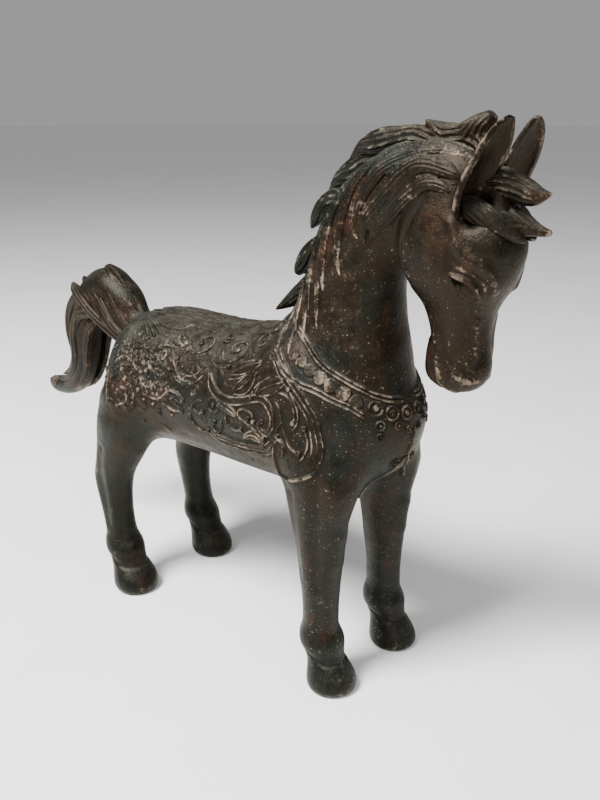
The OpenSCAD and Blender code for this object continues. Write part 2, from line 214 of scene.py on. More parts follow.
def blurred(d, sigma):
    """d smoothed over sigma voxels."""
    radius = int(3 * sigma + 0.5)
    weights = np.exp(-0.5 * (np.arange(-radius, radius + 1) / sigma) ** 2)
    weights = (weights / weights.sum()).astype(np.float32)
    for axis in range(3):
        pad = [(0, 0)] * 3
        pad[axis] = (radius, radius)
        wide = np.pad(d, pad, mode="edge")
        parts = [slice(None)] * 3
        total = 0
        for i, weight in enumerate(weights):
            parts[axis] = slice(i, i + d.shape[axis])
            total = total + weight * wide[tuple(parts)]
        d = total
    return d


def joined(a, b, blend):
    """Union of two fields with a fillet."""
    h = np.maximum(blend - np.abs(a - b), 0)
    return np.minimum(a, b) - h * h / (4 * blend)


def carved(a, b, blend):
    """a with b taken away, with a rounded lip."""
    return -joined(-a, b, blend)


def worked(field, d, rows, change, blend):
    """Beads along rows joined to d or carved out of it, in place, on both sides of the horse."""
    for side in SIDES.values():
        line = np.array(rows, float) * [1, side, 1, 1]
        margin = line[:, 3].max() + BEAD_REACH
        part = Field(line[:, :3].min(0) - margin, line[:, :3].max(0) + margin, field.voxel)
        stop = np.minimum(part.first + part.count, field.first + field.count)
        part.first = np.maximum(part.first, field.first)
        part.count = stop - part.first
        window = tuple(slice(a, a + n) for a, n in zip(part.first - field.first, part.count))
        d[window] = change(d[window], part.of_beads(line), blend)


def laid(field, d, line, height):
    """The line moved onto the skin of d, its middle outside it by height times each radius."""
    rows = np.array(line, float)
    for _ in range(LAYING_ROUNDS):
        gap = field.at(d, rows[:, :3]) - height * rows[:, 3]
        rows[:, :3] -= field.outward(d, rows[:, :3]) * gap[:, None]
    return rows


def chased(field, d, skin, raised, cut):
    """Lines laid on a skin and joined to d, and others carved out of it, in place."""
    for line, sunk, blend in raised:
        worked(field, d, laid(field, skin, line, -sunk), joined, blend)
    for line, sunk, blend in cut:
        worked(field, d, laid(field, skin, line, sunk), carved, blend)


# ---- Meshes ----

def cad_mesh(node):
    """Points of a CAD node in the drawing, and its triangles."""
    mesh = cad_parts[node].data
    points = np.empty(len(mesh.vertices) * 3, np.float32)
    mesh.vertices.foreach_get("co", points)
    mesh.calc_loop_triangles()
    triangles = np.empty(len(mesh.loop_triangles) * 3, np.int32)
    mesh.loop_triangles.foreach_get("vertices", triangles)
    return points.reshape(-1, 3) / MM - SHIFT, triangles.reshape(-1, 3)


def shown(name, data):
    """A new object in the scene."""
    obj = bpy.data.objects.new(name, data)
    bpy.context.scene.collection.objects.link(obj)
    return obj


def piece(name, points, faces, material, slot, node, edge, normals=None):
    """A visible piece that stands for a CAD node, with an edge value at each point."""
    used = np.unique(faces)
    fresh = np.zeros(len(points), int)
    fresh[used] = np.arange(len(used))
    points, faces = np.clip(points[used], *BOX), fresh[faces]
    mesh = bpy.data.meshes.new(name)
    mesh.vertices.add(len(points))
    mesh.vertices.foreach_set("co", ((points + SHIFT) * MM).astype(np.float32).ravel())
    corners = faces.shape[1]
    mesh.loops.add(faces.size)
    mesh.loops.foreach_set("vertex_index", faces.ravel().astype(np.int32))
    mesh.polygons.add(len(faces))
    mesh.polygons.foreach_set("loop_start", np.arange(0, faces.size, corners, dtype=np.int32))
    mesh.update()
    mesh.validate()
    mesh.shade_smooth()
    if normals is not None:
        mesh.normals_split_custom_set_from_vertices(normals[used].tolist())
    mesh.attributes.new("edge", "FLOAT", "POINT").data.foreach_set(
        "value", edge[used].astype(np.float32))
    obj = shown(name, mesh)
    mesh.materials.append(material)
    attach(obj, "root")
    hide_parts(node)


def ring_skin(rings):
    """Points and triangles of a closed skin over rings of equal length."""
    m, n = rings.shape[:2]
    points = np.concatenate([rings.reshape(-1, 3), rings[:1].mean(1), rings[-1:].mean(1)])
    i, j = np.meshgrid(np.arange(m - 1), np.arange(n), indexing="ij")
    a, b = (i * n + j).ravel(), (i * n + (j + 1) % n).ravel()
    ends = np.arange(n)
    turn = (ends + 1) % n
    last = (m - 1) * n
    faces = np.concatenate([
        np.stack([a, b, b + n], 1), np.stack([a, b + n, a + n], 1),
        np.stack([np.full(n, m * n), turn, ends], 1),
        np.stack([np.full(n, m * n + 1), last + ends, last + turn], 1)])
    return points, faces


def flipped(mesh):
    """The mirror image of (points, faces) on the horse's other side."""
    points, faces = mesh
    return points * [1, -1, 1], faces[:, ::-1]


def heap(meshes):
    """Several (points, faces) as one."""
    start, points, faces = 0, [], []
    for p, f in meshes:
        points.append(p)
        faces.append(f + start)
        start += len(p)
    return np.concatenate(points), np.concatenate(faces)


# ---- The body's smooth field ----

# CAD nodes under one skin, and the fillet in mm that joins each to those before it.
BODY = {"barrel_shell": 0, "neck_shell": 9, "head": 5, "tail": 4,
        "foreleg_right": 6, "foreleg_left": 6, "hindleg_right": 6, "hindleg_left": 6}
MARGIN, UNDER_SOLES = 5, 3
CAD_REACH = 12
low, high = BOX[0] - MARGIN, BOX[1] + MARGIN
low[2] = -UNDER_SOLES
coarse = Field(low, high, 1.0)
node_fields = {n: coarse.of_mesh(*cad_mesh(n), CAD_REACH) for n in BODY}

# Air is free when it is more than CLEAR mm from metal. The free air that the outside reaches is
# found on a grid FLOOD_STEP times coarser, and all that isn't near it is DEEP mm inside the metal.
CLEAR, FLOOD_STEP, DEEP = 0.8, 2, 4.0
REACHED_BLUR, REACHED_GAIN = 1.5, 40
BODY_BLUR = 2.0


def filled(d):
    """d without the hollows that the outside can't reach."""
    free = d[::FLOOD_STEP, ::FLOOD_STEP, ::FLOOD_STEP] > CLEAR
    outside = np.zeros_like(free)
    outside[0], outside[-1] = free[0], free[-1]
    after, before = slice(1, None), slice(None, -1)
    while True:
        grown = outside.copy()
        for axis in range(3):
            for forth, back in ((after, before), (before, after)):
                into, source = [slice(None)] * 3, [slice(None)] * 3
                into[axis], source[axis] = forth, back
                grown[tuple(into)] |= outside[tuple(source)]
        grown &= free
        if (grown == outside).all():
            break
        outside = grown
    for axis in range(3):
        outside = np.repeat(outside, FLOOD_STEP, axis)
    outside = outside[:d.shape[0], :d.shape[1], :d.shape[2]].astype(np.float32)
    near = np.clip(REACHED_GAIN * blurred(outside, REACHED_BLUR), 0, 1)
    return near * d - (1 - near) * DEEP


def body_field():
    """All the body's nodes in one field, smoothed with little shrinking."""
    body = None
    for node, blend in BODY.items():
        d = node_fields[node]
        body = d if body is None else joined(body, d, blend)
    once = blurred(filled(body), BODY_BLUR)
    return 2 * once - blurred(once, BODY_BLUR)


body = body_field()

# ---- Head: a finer field, sculpted ----

HEAD_VOXEL, HEAD_BLUR = 0.4, 0.7
HEAD_LOW, HEAD_HIGH = (62, -26, 116), (126, 26, 208)
# Swellings of each side of the head: middle, radii, lean, blend.
HEAD_EGGS = [
    [(87, -8.6, 169), (12, 6.5, 15), -12, 5],
    [(103, -8, 171), (5, 4.5, 5), 20, 5]]
# Middle, radii, lean.
SOCKET = [(101, -15, 159.6), (5.4, 3.8, 2.7), 42]
EYEBALL = [(100.8, -10.9, 159.1), (3.4, 2.4, 1.9), 42]
SOCKET_BLEND, EYEBALL_BLEND = 1.4, 0.3
# Lines over the face: [x, y, z, radius], laid on the skin and sunk by a share of the radius.
BROW = [[95, -13, 178, .8], [97.5, -13, 173, 1.4], [101, -12, 168.8, 1.7],
        [104.6, -11, 166.8, 1.6], [107, -9, 163.5, 1.3], [108, -7, 158, .8]]
LID_FOLD = [[97, -13, 168, .5], [99.8, -13, 165.4, .9], [103, -12, 164, .9], [105.4, -10, 161, .8],
            [106, -9, 157, .4]]
UPPER_LID = [[96, -13, 163.8, .5], [99, -13, 163, 1], [102.2, -12, 161.2, 1.1],
             [104.4, -11, 158, .9], [104.8, -10, 155, .5]]
LOWER_LID = [[96.4, -13, 162, .3], [98, -13, 159, .5], [101, -12, 156, .5],
             [104.2, -10, 154.8, .3]]
MOUTH_LIP = [[88.4, -6.6, 142, .6], [89.4, -8, 137.6, 1.4], [90.6, -8, 132, 1.7],
             [92, -7, 127.5, 1.6], [95, -5, 124, 1]]
MOUTH_SLIT = [[86.4, -6, 140.5, .5], [87.4, -7, 134.6, 1.1], [88.8, -6.6, 129, 1.2],
              [91, -4, 124.6, .9]]
CHIN = [[83.6, -4, 139, 1.2], [84.4, -5, 134, 2], [86, -4.6, 128.6, 2], [88.6, -3, 124.6, 1.2]]
NOSE_EDGE = [[102, -6, 148, .5], [101.8, -6, 142, .9], [101.4, -6, 137, 1], [100, -7, 134, .6]]
NOSTRIL = [[98.6, -8, 133.6, .3], [100.4, -7, 131, .8], [102.4, -6, 130.6, .5]]
MUZZLE_FOLD = [[93, -8, 134, .5], [96, -8, 130.6, .9], [100, -7, 128, .8], [103, -4, 128, .4]]
CHEEK_CREASE = [[84, -13, 186, .4], [80, -12.4, 178, .8], [77.6, -11, 169, .9],
                [80, -9.6, 160, .7]]
# (line, sunk share, blend), raised or cut.
RAISED = ((BROW, .3, 2.2), (LID_FOLD, .1, .8), (UPPER_LID, -.2, .5), (LOWER_LID, 0, .5),
          (MOUTH_LIP, .35, 1.4), (CHIN, .4, 1.4), (NOSE_EDGE, .5, 2), (MUZZLE_FOLD, .4, 1.2))
CUT = ((MOUTH_SLIT, -.1, .8), (NOSTRIL, 0, .8), (CHEEK_CREASE, 0, 2))


def both(shape):
    """A shape made on the right side and its mirror image."""
    return np.minimum(shape, shape[:, ::-1])


def sculpted_head(field):
    d = coarse.resampled(body, field)
    for middle, radii, lean, blend in HEAD_EGGS:
        d = joined(d, both(field.of_egg(middle, radii, lean)), blend)
    plain = d
    d = carved(d, both(field.of_egg(*SOCKET)), SOCKET_BLEND)
    d = joined(d, both(field.of_egg(*EYEBALL)), EYEBALL_BLEND)
    chased(field, d, plain, RAISED, CUT)
    return blurred(d, HEAD_BLUR)


# ---- Legs: joints, creases and planes ----

RING_STEPS = 40
RING_REACH = 8


def leg_ring(height, x, y, toe, radius):
    """A closed row of beads round a leg at x, y, which runs toe mm higher at the front."""
    turn = np.linspace(0, 2 * np.pi, RING_STEPS)
    return np.stack([x + RING_REACH * np.cos(turn), y + RING_REACH * np.sin(turn),
                     height + toe * np.cos(turn), 0 * turn + radius], 1)


# Fetlocks, then knees, hocks and tendons: (rows of [x, y, z, radius], sunk share, blend).
LEG_RAISED = [
    (leg_ring(20.5, 51.5, -20, -1, 3.6), .93, 4),
    (leg_ring(21, -65.5, -24, -1, 3.6), .92, 4),
    ([[58, -20, 64, 3], [58.4, -20, 59, 3.6], [58, -20, 54, 3]], .8, 5),
    ([[-77, -24, 66, 2], [-79, -24, 60, 2.6], [-78, -24, 55, 2]], .6, 4),
    ([[43.6, -20, 50, 1.6], [44, -20, 40, 1.8], [44.4, -20, 30, 1.6]], .7, 3)]
# The soft edges of the legs' planes, then the creases over the hooves.
LEG_CUT = [
    ([[57, -31, 86, 1.5], [56.4, -30, 74, 2.6], [55.6, -29, 60, 2.4], [55, -28, 44, 1.5]], .82, 3),
    ([[44, -29, 80, 1.5], [44.6, -28, 66, 2.4], [45, -27, 48, 1.5]], .84, 3),
    ([[-66, -36, 70, 1.5], [-69, -33, 58, 2.4], [-69, -31, 44, 2], [-68, -31, 32, 1.4]], .82, 3),
    ([[-78, -30, 74, 1.4], [-76, -30, 66, 2], [-73, -29, 58, 1.4]], .8, 3),
    (leg_ring(14.4, 53, -20, -3, .6), .45, 1.4),
    (leg_ring(14.6, -63, -24, -3, .6), .45, 1.4)]

# ---- Ears ----

# Rows are [x, y, z, half-width, half-depth].
EAR_AXIS = [[97.5, -9, 180, 4.6, 3], [98.5, -10, 184, 7, 4.6], [101.5, -10.6, 190, 8.4, 5.4],
            [105, -10.4, 197, 8.2, 5], [107.6, -9.4, 203, 6.8, 4], [109.2, -8.4, 207, 4.2, 2.6],
            [110, -8, 209, 1.6, 1.2]]
# Where each cup opens, for an ear on the right side; the left one is turned in a little.
EAR_OPENING = {"right": (0.985, -0.12, -0.1), "left": (0.97, 0.2, -0.1)}
EAR_RINGS, EAR_POINTS = 28, 15
# How far the cup curls round, in radians to each side, and how far its middle is brought forward.
EAR_CURL, EAR_FORWARD = 1.25, .3
# The cup's inside is its outside made smaller by a wall in mm, down to a least share, and brought
# forward by some mm.
EAR_WALL, LEAST_INSIDE, INSIDE_FORWARD = 2.6, .25, .6


def ear(opening):
    """A cupped leaf: each ring runs round the back of the cup and returns inside it."""
    rows = along(EAR_AXIS, EAR_RINGS)
    line = unit(np.gradient(rows[:, :3], axis=0))
    facing = unit(opening - line * (line @ opening)[:, None])
    side = np.cross(line, facing)
    curl = np.linspace(-EAR_CURL, EAR_CURL, EAR_POINTS)
    rings = []
    for row, f, s in zip(rows, facing, side):
        wide, deep = row[3], row[4]
        inner = max(1 - EAR_WALL / wide, LEAST_INSIDE)
        outside = [s * wide * math.sin(t) - f * deep * (math.cos(t) - EAR_FORWARD) for t in curl]
        inside = [place * inner + f * INSIDE_FORWARD for place in outside[::-1]]
        rings.append(row[:3] + np.array(outside + inside))
    return ring_skin(np.array(rings))


# ---- Hair: combed locks ----

# Rows are [x, y, z, half-width, half-depth].
CREST_LOCKS = [
    [[40, 0, 155, 4, 4], [32, 0, 151, 5.5, 5], [25, 0, 147, 4.5, 4.5], [17, 0, 142, 2.6, 3],
     [10, 0, 138, .4, .5]],
    [[42, 0, 168, 4, 4], [34, 0, 164, 5.5, 5], [28, 0, 160, 5, 4.6], [23.6, 0, 156, 3.2, 3.4],
     [21.6, 0, 153.4, 1.6, 1.8]],
    [[50, 0, 182, 3, 4], [42, 0, 181, 5.5, 5], [35.6, 0, 178, 5, 4.6], [31, 0, 174, 3, 3],
     [28.2, 0, 170.4, .4, .5]],
    [[60, 0, 193, 3, 4], [52, 0, 192, 5.5, 5], [45, 0, 189.6, 4.6, 4.4], [40, 0, 186.4, 2.6, 3],
     [36.4, 0, 183.4, .4, .5]],
    [[70, 0, 200, 3, 4], [61, 0, 201, 5, 5], [53.6, 0, 199, 4.4, 4.2], [49, 0, 196.6, 2.4, 3],
     [45.4, 0, 194, .4, .5]],
    [[84, 0, 201, 3, 4], [75, 0, 201.6, 5, 5.4], [66.6, 0, 202, 4.6, 4.8],
     [60, 0, 203.4, 2.8, 3.2], [54.6, 0, 204, .5, .6]],
    [[98, 0, 200, 5, 5], [90, 0, 202, 5, 5.6], [84, 0, 203.6, 4, 5], [79, 0, 206, 2.2, 3],
     [75.6, 0, 208, .4, .5]],
    [[86, 0, 199, 5, 5], [92, 0, 203, 5.4, 5.4], [96.4, 0, 206.6, 4.2, 4.4],
     [99.4, 0, 209.6, 2, 2.2]]]
FORELOCKS = [
    [[92, 0, 190, 5, 6], [99, 0, 190.6, 4.8, 6.4], [105, 0, 190.2, 4.5, 6.4],
     [110, 0, 188.2, 4.4, 5.6], [114.4, 0, 187, 3.7, 4.4], [117.4, 0, 187, 2.2, 2.5],
     [120.4, 0, 187.6, .3, .4]],
    [[93, 0, 182, 5, 7], [99, 0, 181.6, 5.4, 9], [104, 0, 180.4, 5, 9], [110, 0, 178.6, 4, 7],
     [115, 0, 177.2, 2.6, 4], [118.6, 0, 176.5, 1.6, 2], [121.2, 0, 176.2, 1, 1]],
    [[93, -8, 183, 3, 3], [98, -9, 183, 4, 3.6], [103.6, -8.6, 180.6, 4.2, 3.6],
     [108.6, -6.4, 177.6, 3.6, 3.4], [112.6, -4, 174.8, 2.2, 2.4], [114.4, -2.6, 173.4, .6, .8]]]
FORELOCKS.append([[x, -y, *rest] for x, y, *rest in FORELOCKS[-1]])
SIDE_LOCKS = [
    [[100, -4, 200, .5, .4], [93, -4.5, 203.5, 2, 1.2], [85, -5, 205, 3, 1.6],
     [77, -5.5, 204.6, 3.2, 1.7], [69, -6.5, 202, 3, 1.6], [62, -8, 197, 2.4, 1.3],
     [57, -10, 190, .4, .4]],
    [[99, -6, 196, .5, .4], [91, -7, 199.5, 2, 1.2], [83, -7.5, 200.5, 3, 1.6],
     [75, -8, 199.5, 3.2, 1.7], [68.5, -9, 196, 3, 1.6], [63.5, -10, 191, 2.4, 1.3],
     [60.5, -11.5, 185.5, .4, .4]],
    [[98, -9, 190.5, .5, .4], [92, -10.5, 194, 2, 1.2], [86, -10.5, 195.4, 2.8, 1.5],
     [80, -10.5, 193.6, 3, 1.6], [75.5, -11, 189, 2.8, 1.5], [72, -11.5, 184.5, 2, 1.2],
     [70, -12, 180, .4, .4]],
    [[101, -8, 188, .5, .4], [93, -10, 192, 2, 1.2], [82, -10, 195, 3.2, 1.7],
     [75, -11, 192, 3.6, 1.9], [71, -12, 188, 3.6, 1.9], [67, -12, 183, 3.5, 1.8],
     [63, -13, 178, 3, 1.6], [61.5, -13, 174, 2.2, 1.3], [62, -12.5, 169, .4, .4]],
    [[99, -11, 184, .4, .4], [92, -12, 188, 1.6, 1], [85, -12, 189.6, 2.8, 1.5],
     [79, -11, 187, 3.4, 1.6], [74, -11, 183, 3.4, 1.6], [70, -11, 178, 3, 1.5],
     [66, -12, 174, 2.4, 1.3], [63.4, -12, 170, .4, .4]],
    [[94, -7, 197, .6, .4], [84, -8, 199, 2, 1.2], [74, -9, 197, 3, 1.6], [67, -10, 193, 3.4, 1.8],
     [62, -11, 187, 3.3, 1.8], [58.5, -12, 181, 3, 1.6], [58, -13, 175, 2, 1.2],
     [59.6, -13, 170.6, .4, .4]],
    [[66, -6, 198, 2, 1.2], [59, -8, 193, 3.2, 1.8], [54, -10, 186, 3.2, 1.8],
     [52, -12, 179, 3, 1.7], [51, -13, 171, 2.6, 1.5], [51.5, -13.5, 164, 1.6, 1],
     [53.5, -14, 158, .4, .4]],
    [[54, -5, 190, 2, 1.2], [48, -8, 184, 3.2, 1.7], [45, -9, 176, 3.2, 1.7],
     [44, -11, 168, 3, 1.6], [44.5, -12, 160, 2.2, 1.3], [47, -14, 152, .4, .4]],
    [[46, -4, 184, 2, 1.2], [41, -6, 176, 3.2, 1.7], [38.5, -7, 168, 3.2, 1.7],
     [37.5, -8, 160, 3, 1.6], [38.5, -10, 152, 2.2, 1.3], [41.5, -14, 144, .4, .4]],
    [[39, -3, 172, 2, 1.2], [34.5, -5, 165, 3.2, 1.7], [32, -6, 157, 3.2, 1.7],
     [31.5, -8, 149, 3, 1.6], [33.5, -12, 142, 2, 1.2], [37, -16, 135, .4, .4]],
    [[34, -3, 160, 2, 1.2], [29.5, -4, 153, 3.2, 1.6], [27, -6, 146, 3, 1.6],
     [27.5, -9, 139, 2.4, 1.4], [31, -14, 132, .4, .4]],
    [[29, -3, 150, 2, 1.2], [23.5, -4, 144, 2.8, 1.4], [20.5, -7, 138, 2.4, 1.3],
     [23, -13, 132, .4, .4]],
    [[33, -6, 152, .4, .4], [32.6, -14, 144, 1.4, .8], [34.6, -18, 136, 1.5, .8],
     [38, -20, 128, .4, .4]],
    [[38, -8, 160, .4, .4], [37.4, -14, 151, 1.4, .8], [39, -18, 142, 1.4, .8],
     [42, -20, 134, .4, .4]],
    [[27, -8, 144, .4, .4], [27.4, -14, 138, 1.4, .8], [30, -18, 131, 1.4, .8],
     [34, -21, 124, .4, .4]],
    [[43, -10, 168, .4, .4], [42.4, -14, 159, 1.4, .8], [43.6, -17, 150, 1.4, .8],
     [46.6, -19, 140, .4, .4]]]
TAIL_LOCKS = [
    [[-70, 0, 117, 4, 4], [-79, 0, 127, 5, 6], [-87, 0, 135, 5, 6.4], [-93.4, 0, 140, 4, 5],
     [-97.4, 0, 143.6, 1.6, 2]],
    [[-72, -5, 114, 3, 2.4], [-80, -6, 122, 4, 3], [-89, -6.4, 131, 4.4, 3],
     [-97, -5, 137, 3.6, 2.6], [-103, -3.6, 139.6, 1.2, 1]],
    [[-75, -6, 111, 3, 2.4], [-85, -7.6, 118, 4.2, 2.8], [-95, -8, 127, 4.4, 2.8],
     [-105, -6, 133.6, 3.6, 2.6], [-111.6, -4, 137, 1.2, 1]],
    [[-82, -6, 112, 3, 2.4], [-93, -8, 119, 4.2, 2.8], [-105, -8.4, 126.6, 4.2, 2.8],
     [-116, -6, 130.6, 3.4, 2.4], [-121.6, -3.6, 133, 1, 1]],
    [[-92, -6, 118, 2, 2], [-103, -8, 122, 3.4, 2.2], [-113, -8, 119, 3.4, 2.2],
     [-119, -7, 109, 3.2, 2], [-121, -6, 97, 3, 2], [-126, -5, 88, 2.6, 1.8],
     [-137, -3, 81, 2, 1.4], [-153, 0, 79.4, .3, .3]],
    [[-100, -5, 128, 2, 2], [-113, -6, 128, 3.2, 2.2], [-123, -5, 120, 3.4, 2.2],
     [-127, -4, 109, 3.2, 2], [-126, -3, 97, 3, 1.8], [-131, -2, 88, 2.4, 1.6],
     [-143, 0, 82, .4, .4]],
    [[-98, -4, 122, 2, 2], [-107, -6, 114, 2.8, 2], [-111, -6, 103, 2.8, 1.8],
     [-114, -5, 92, 2.4, 1.6], [-121, -4, 82, 2, 1.4], [-133, -2, 75.6, .4, .4]]]
LOCK_STEP = 0.8
POINTS_PER_STRAND = 8
# How far a strand's sway turns along its lock, in radians.
SWAY_TURN = 7
# How strongly bends darken hair with painted shade in its grooves or brighten it with wear on its
# crests, then two reaches in voxels: that of a bend, and how far from the skin distances are kept.
HAIR_GAIN, HAIR_SPREAD, HAIR_BAND = 0.95, 2.5, 4


class Surface:
    """The finished skins, for laying things on."""

    def __init__(self, points, faces):
        self.tree = BVHTree.FromPolygons(points.tolist(), faces.tolist())

    def nearest(self, places):
        """(points, normals) of the skin nearest to places."""
        found = [self.tree.find_nearest(p)[:2] for p in places.tolist()]
        return np.array([f[0] for f in found]), np.array([f[1] for f in found])

    def inward(self, starts, ways):
        """Where rays meet the skin, or the skin's nearest point for a ray that misses it."""
        points = []
        for start, way in zip(starts.tolist(), ways.tolist()):
            point = self.tree.ray_cast(start, way)[0]
            points.append(self.tree.find_nearest(start)[0] if point is None else point)
        return np.array(points)


def lock(rows, facing, strands, groove, wave):
    """A tapering lock whose strands are grooves that run down it and sway a little."""
    path = along(rows, step=LOCK_STEP)
    line = unit(np.gradient(path[:, :3], axis=0))
    facing = unit(facing(path[:, :3]) if callable(facing) else np.tile(facing, (len(path), 1)))
    out = unit(facing - line * np.sum(line * facing, 1, keepdims=True))
    side = np.cross(line, out)
    turn = np.linspace(0, 2 * np.pi, POINTS_PER_STRAND * strands, endpoint=False)
    phase = dice.uniform(0, 6)
    at = np.linspace(0, 1, len(path))[:, None]
    sway = phase + wave * np.sin(SWAY_TURN * at + phase)
    cut = 1 - groove * (0.5 + 0.5 * np.cos(strands * turn[None, :] + sway))
    across = path[:, 3:4] * np.cos(turn) * cut
    deep = path[:, 4:5] * np.sin(turn) * cut
    return ring_skin(path[:, None, :3] + side[:, None, :] * across[:, :, None]
                     + out[:, None, :] * deep[:, :, None])


def on_skin(rows, surface):
    """Lock rows moved onto the skin, and a function that faces them out of it."""
    rows = np.array(rows, float)
    rows[:, :3] = surface.nearest(rows[:, :3])[0]
    return rows, lambda places: evened(surface.nearest(places)[1])


def hair_piece(name, meshes, low, high, material, node, voxel=0.4, soft=0.6):
    """Overlapping locks melted into one casting."""
    field = Field(low, high, voxel)
    d = blurred(field.of_mesh(*heap(meshes), HAIR_BAND * voxel), soft)
    points, quads = field.skin(d)
    # Low edge values in the grooves paint shade there; the crests' high ones show wear.
    bend = field.at(blurred(d, HAIR_SPREAD), points)
    piece(name, points, quads, material, "mane_bronze", node, 0.5 + HAIR_GAIN * bend,
          field.outward(d, points))


# ---- Relief: chased lines laid on the skin ----

# Flank places are [along X, down from the spine], both in mm; neck places are [degrees from
# straight ahead, height].
BARREL_AXIS_Z, FLANK_RADIUS = 102, 30
NECK_AXIS_X = 48
FAR_OUT = 60
# Places across a ridge, and which of them have a foot under them, FOOT mm deep.
PROFILE, FEET, FOOT = np.linspace(-1, 1, 9), [8, 4, 0], 0.48
# How deep in mm the rims of ridges and bosses are set into the skin, and what share of its height
# a ridge keeps at its ends.
SEAT, END_HEIGHT = 0.16, .3
# A ridge closes over its half-width or this many mm, down to this share of its width.
SHORTEST_END, NARROWEST_END = .3, .02
# How much a ridge's width and height waver, and over how many points; then a boss's rim.
WIDTH_WAVER, HEIGHT_WAVER, RIM_WAVER = (.16, 9), (.2, 5), .06
WAVES = (1, 2.3, 4.1)
# Rings of a boss, as shares of its radius, before those round its flat top.
BOSS_POINTS, BOSS_RINGS = 18, (1.1, 1, .9, .8)
# A ring's point count is its degrees times its radius over this.
RING_SPACING, FEWEST_RING_POINTS, RING_SHINE = 28, 12, .86


def on_flank(places, side, surface):
    turn = places[:, 1] / FLANK_RADIUS
    out = np.stack([0 * turn, -side * np.sin(turn), np.cos(turn)], 1)
    axis = np.stack([places[:, 0], 0 * turn, 0 * turn + BARREL_AXIS_Z], 1)
    return surface.inward(axis + out * FAR_OUT, -out)


def on_neck(places, surface):
    turn = np.radians(places[:, 0])
    out = np.stack([np.cos(turn), np.sin(turn), 0 * turn], 1)
    axis = np.stack([0 * turn + NECK_AXIS_X, 0 * turn, places[:, 1]], 1)
    return surface.inward(axis + out * FAR_OUT, -out)


def beside(line, offset):
    """A flat line moved sideways, by one offset or by one for each place."""
    way = unit(np.gradient(line, axis=0))
    return np.stack([line[:, 0] - way[:, 1] * offset, line[:, 1] + way[:, 0] * offset], 1)


def uneven(count, amount, scale):
    """Smooth random factors round 1 for the hand-worked look."""
    at = np.arange(count) / scale
    waves = sum(np.sin(at * k * dice.uniform(.7, 1.3) + dice.uniform(0, 6)) for k in WAVES)
    return 1 + amount * waves / len(WAVES)


class Relief:
    """Gathers the ridges and bosses of one piece."""

    def __init__(self, surface):
        self.surface = surface
        self.meshes, self.edges = [], []

    def add(self, rings, levels):
        self.meshes.append(ring_skin(rings))
        # Points at level 0, the rims and feet, are darkened as painted shade where the relief
        # meets the skin.
        ends = levels[[0, -1]].mean(1)
        self.edges.append(np.concatenate([levels.ravel(), ends]))

    def ridge(self, spots, half_width, height, blunt=1.8, shine=1.0):
        """A rounded ridge along spots on the skin, closing to a round end both ways."""
        count = len(spots)
        spots, out = self.surface.nearest(spots)
        out = unit(evened(out))
        step = np.linalg.norm(np.diff(spots, axis=0), axis=1).mean()
        left = np.minimum(np.arange(count), np.arange(count)[::-1]) * step
        round_off = 1 - np.clip(left / max(half_width, SHORTEST_END), 0, 1)
        close = np.sqrt(np.clip(1 - round_off ** 2, NARROWEST_END, 1))
        wide = half_width * close * uneven(count, *WIDTH_WAVER)
        tall = height * (END_HEIGHT + (1 - END_HEIGHT) * close) * uneven(count, *HEIGHT_WAVER)
        side = unit(np.cross(unit(np.gradient(spots, axis=0)), out))
        across = spots[:, None] + side[:, None] * (wide[:, None] * PROFILE)[:, :, None]
        on = self.surface.nearest(across.reshape(-1, 3))[0].reshape(across.shape)
        shape = np.clip(np.cos(PROFILE * np.pi / 2), 0, 1) ** blunt
        rise = tall[:, None] * shape - SEAT * (1 - shape)
        top = on + out[:, None] * rise[:, :, None]
        under = on[:, FEET] - out[:, None] * FOOT
        levels = shine * np.concatenate([np.tile(shape, (count, 1)),
                                         np.zeros((count, len(FEET)))], 1)
        self.add(np.concatenate([top, under], 1), levels)

    def footing(self, spot, way):
        """The skin's point nearest to spot, the way out of it, and two ways along it."""
        points, out = self.surface.nearest(np.array([spot], float))
        first = unit(np.cross(way, out[0]))
        return points[0], out[0], first, np.cross(out[0], first)

    def boss(self, spot, radius, height, stretch=1.0, flat=0.5, way=(0, 0, 1), shine=0.9):
        """A boss: its flat share is level, and the rest rounds off into the skin."""
        spot, out, first, second = self.footing(spot, way)
        turn = np.linspace(0, 2 * np.pi, BOSS_POINTS, endpoint=False)[:, None]
        rim = first * np.cos(turn) * stretch + second * np.sin(turn)
        rim *= 1 + RIM_WAVER * np.sin(3 * turn + dice.uniform(0, 6))
        rings, levels = [], []
        for share in (*BOSS_RINGS, flat, flat / 2):
            level = math.sqrt(max(1 - max((share - flat) / (1 - flat), 0) ** 2, 0))
            on = self.surface.nearest(spot + rim * (radius * share))[0]
            rings.append(on + out * (height * level - (SEAT if share > 1 else 0)))
            levels.append(np.full(len(turn), shine * level))
        self.add(np.array(rings)[::-1], np.array(levels)[::-1])

    def ringed_boss(self, spot, radius, ring, heart_share, heart_height):
        """A ring, of the half-width and height given, round a boss."""
        middle, _, first, second = self.footing(spot, (0, 0, 1))
        count = max(int(360 * radius / RING_SPACING), FEWEST_RING_POINTS)
        turn = np.linspace(0, 2 * np.pi, count)[:, None]
        self.ridge(middle + radius * (first * np.cos(turn) + second * np.sin(turn)), *ring,
                   shine=RING_SHINE)
        self.boss(spot, radius * heart_share, heart_height)

    def piece(self, name, node):
        """Makes the piece, and returns its points."""
        points, faces = heap(self.meshes)
        piece(name, points, faces, relief_bronze, "worn_relief", node, np.concatenate(self.edges))
        return points


STEP, COLLAR_STEP = 0.55, 1.4
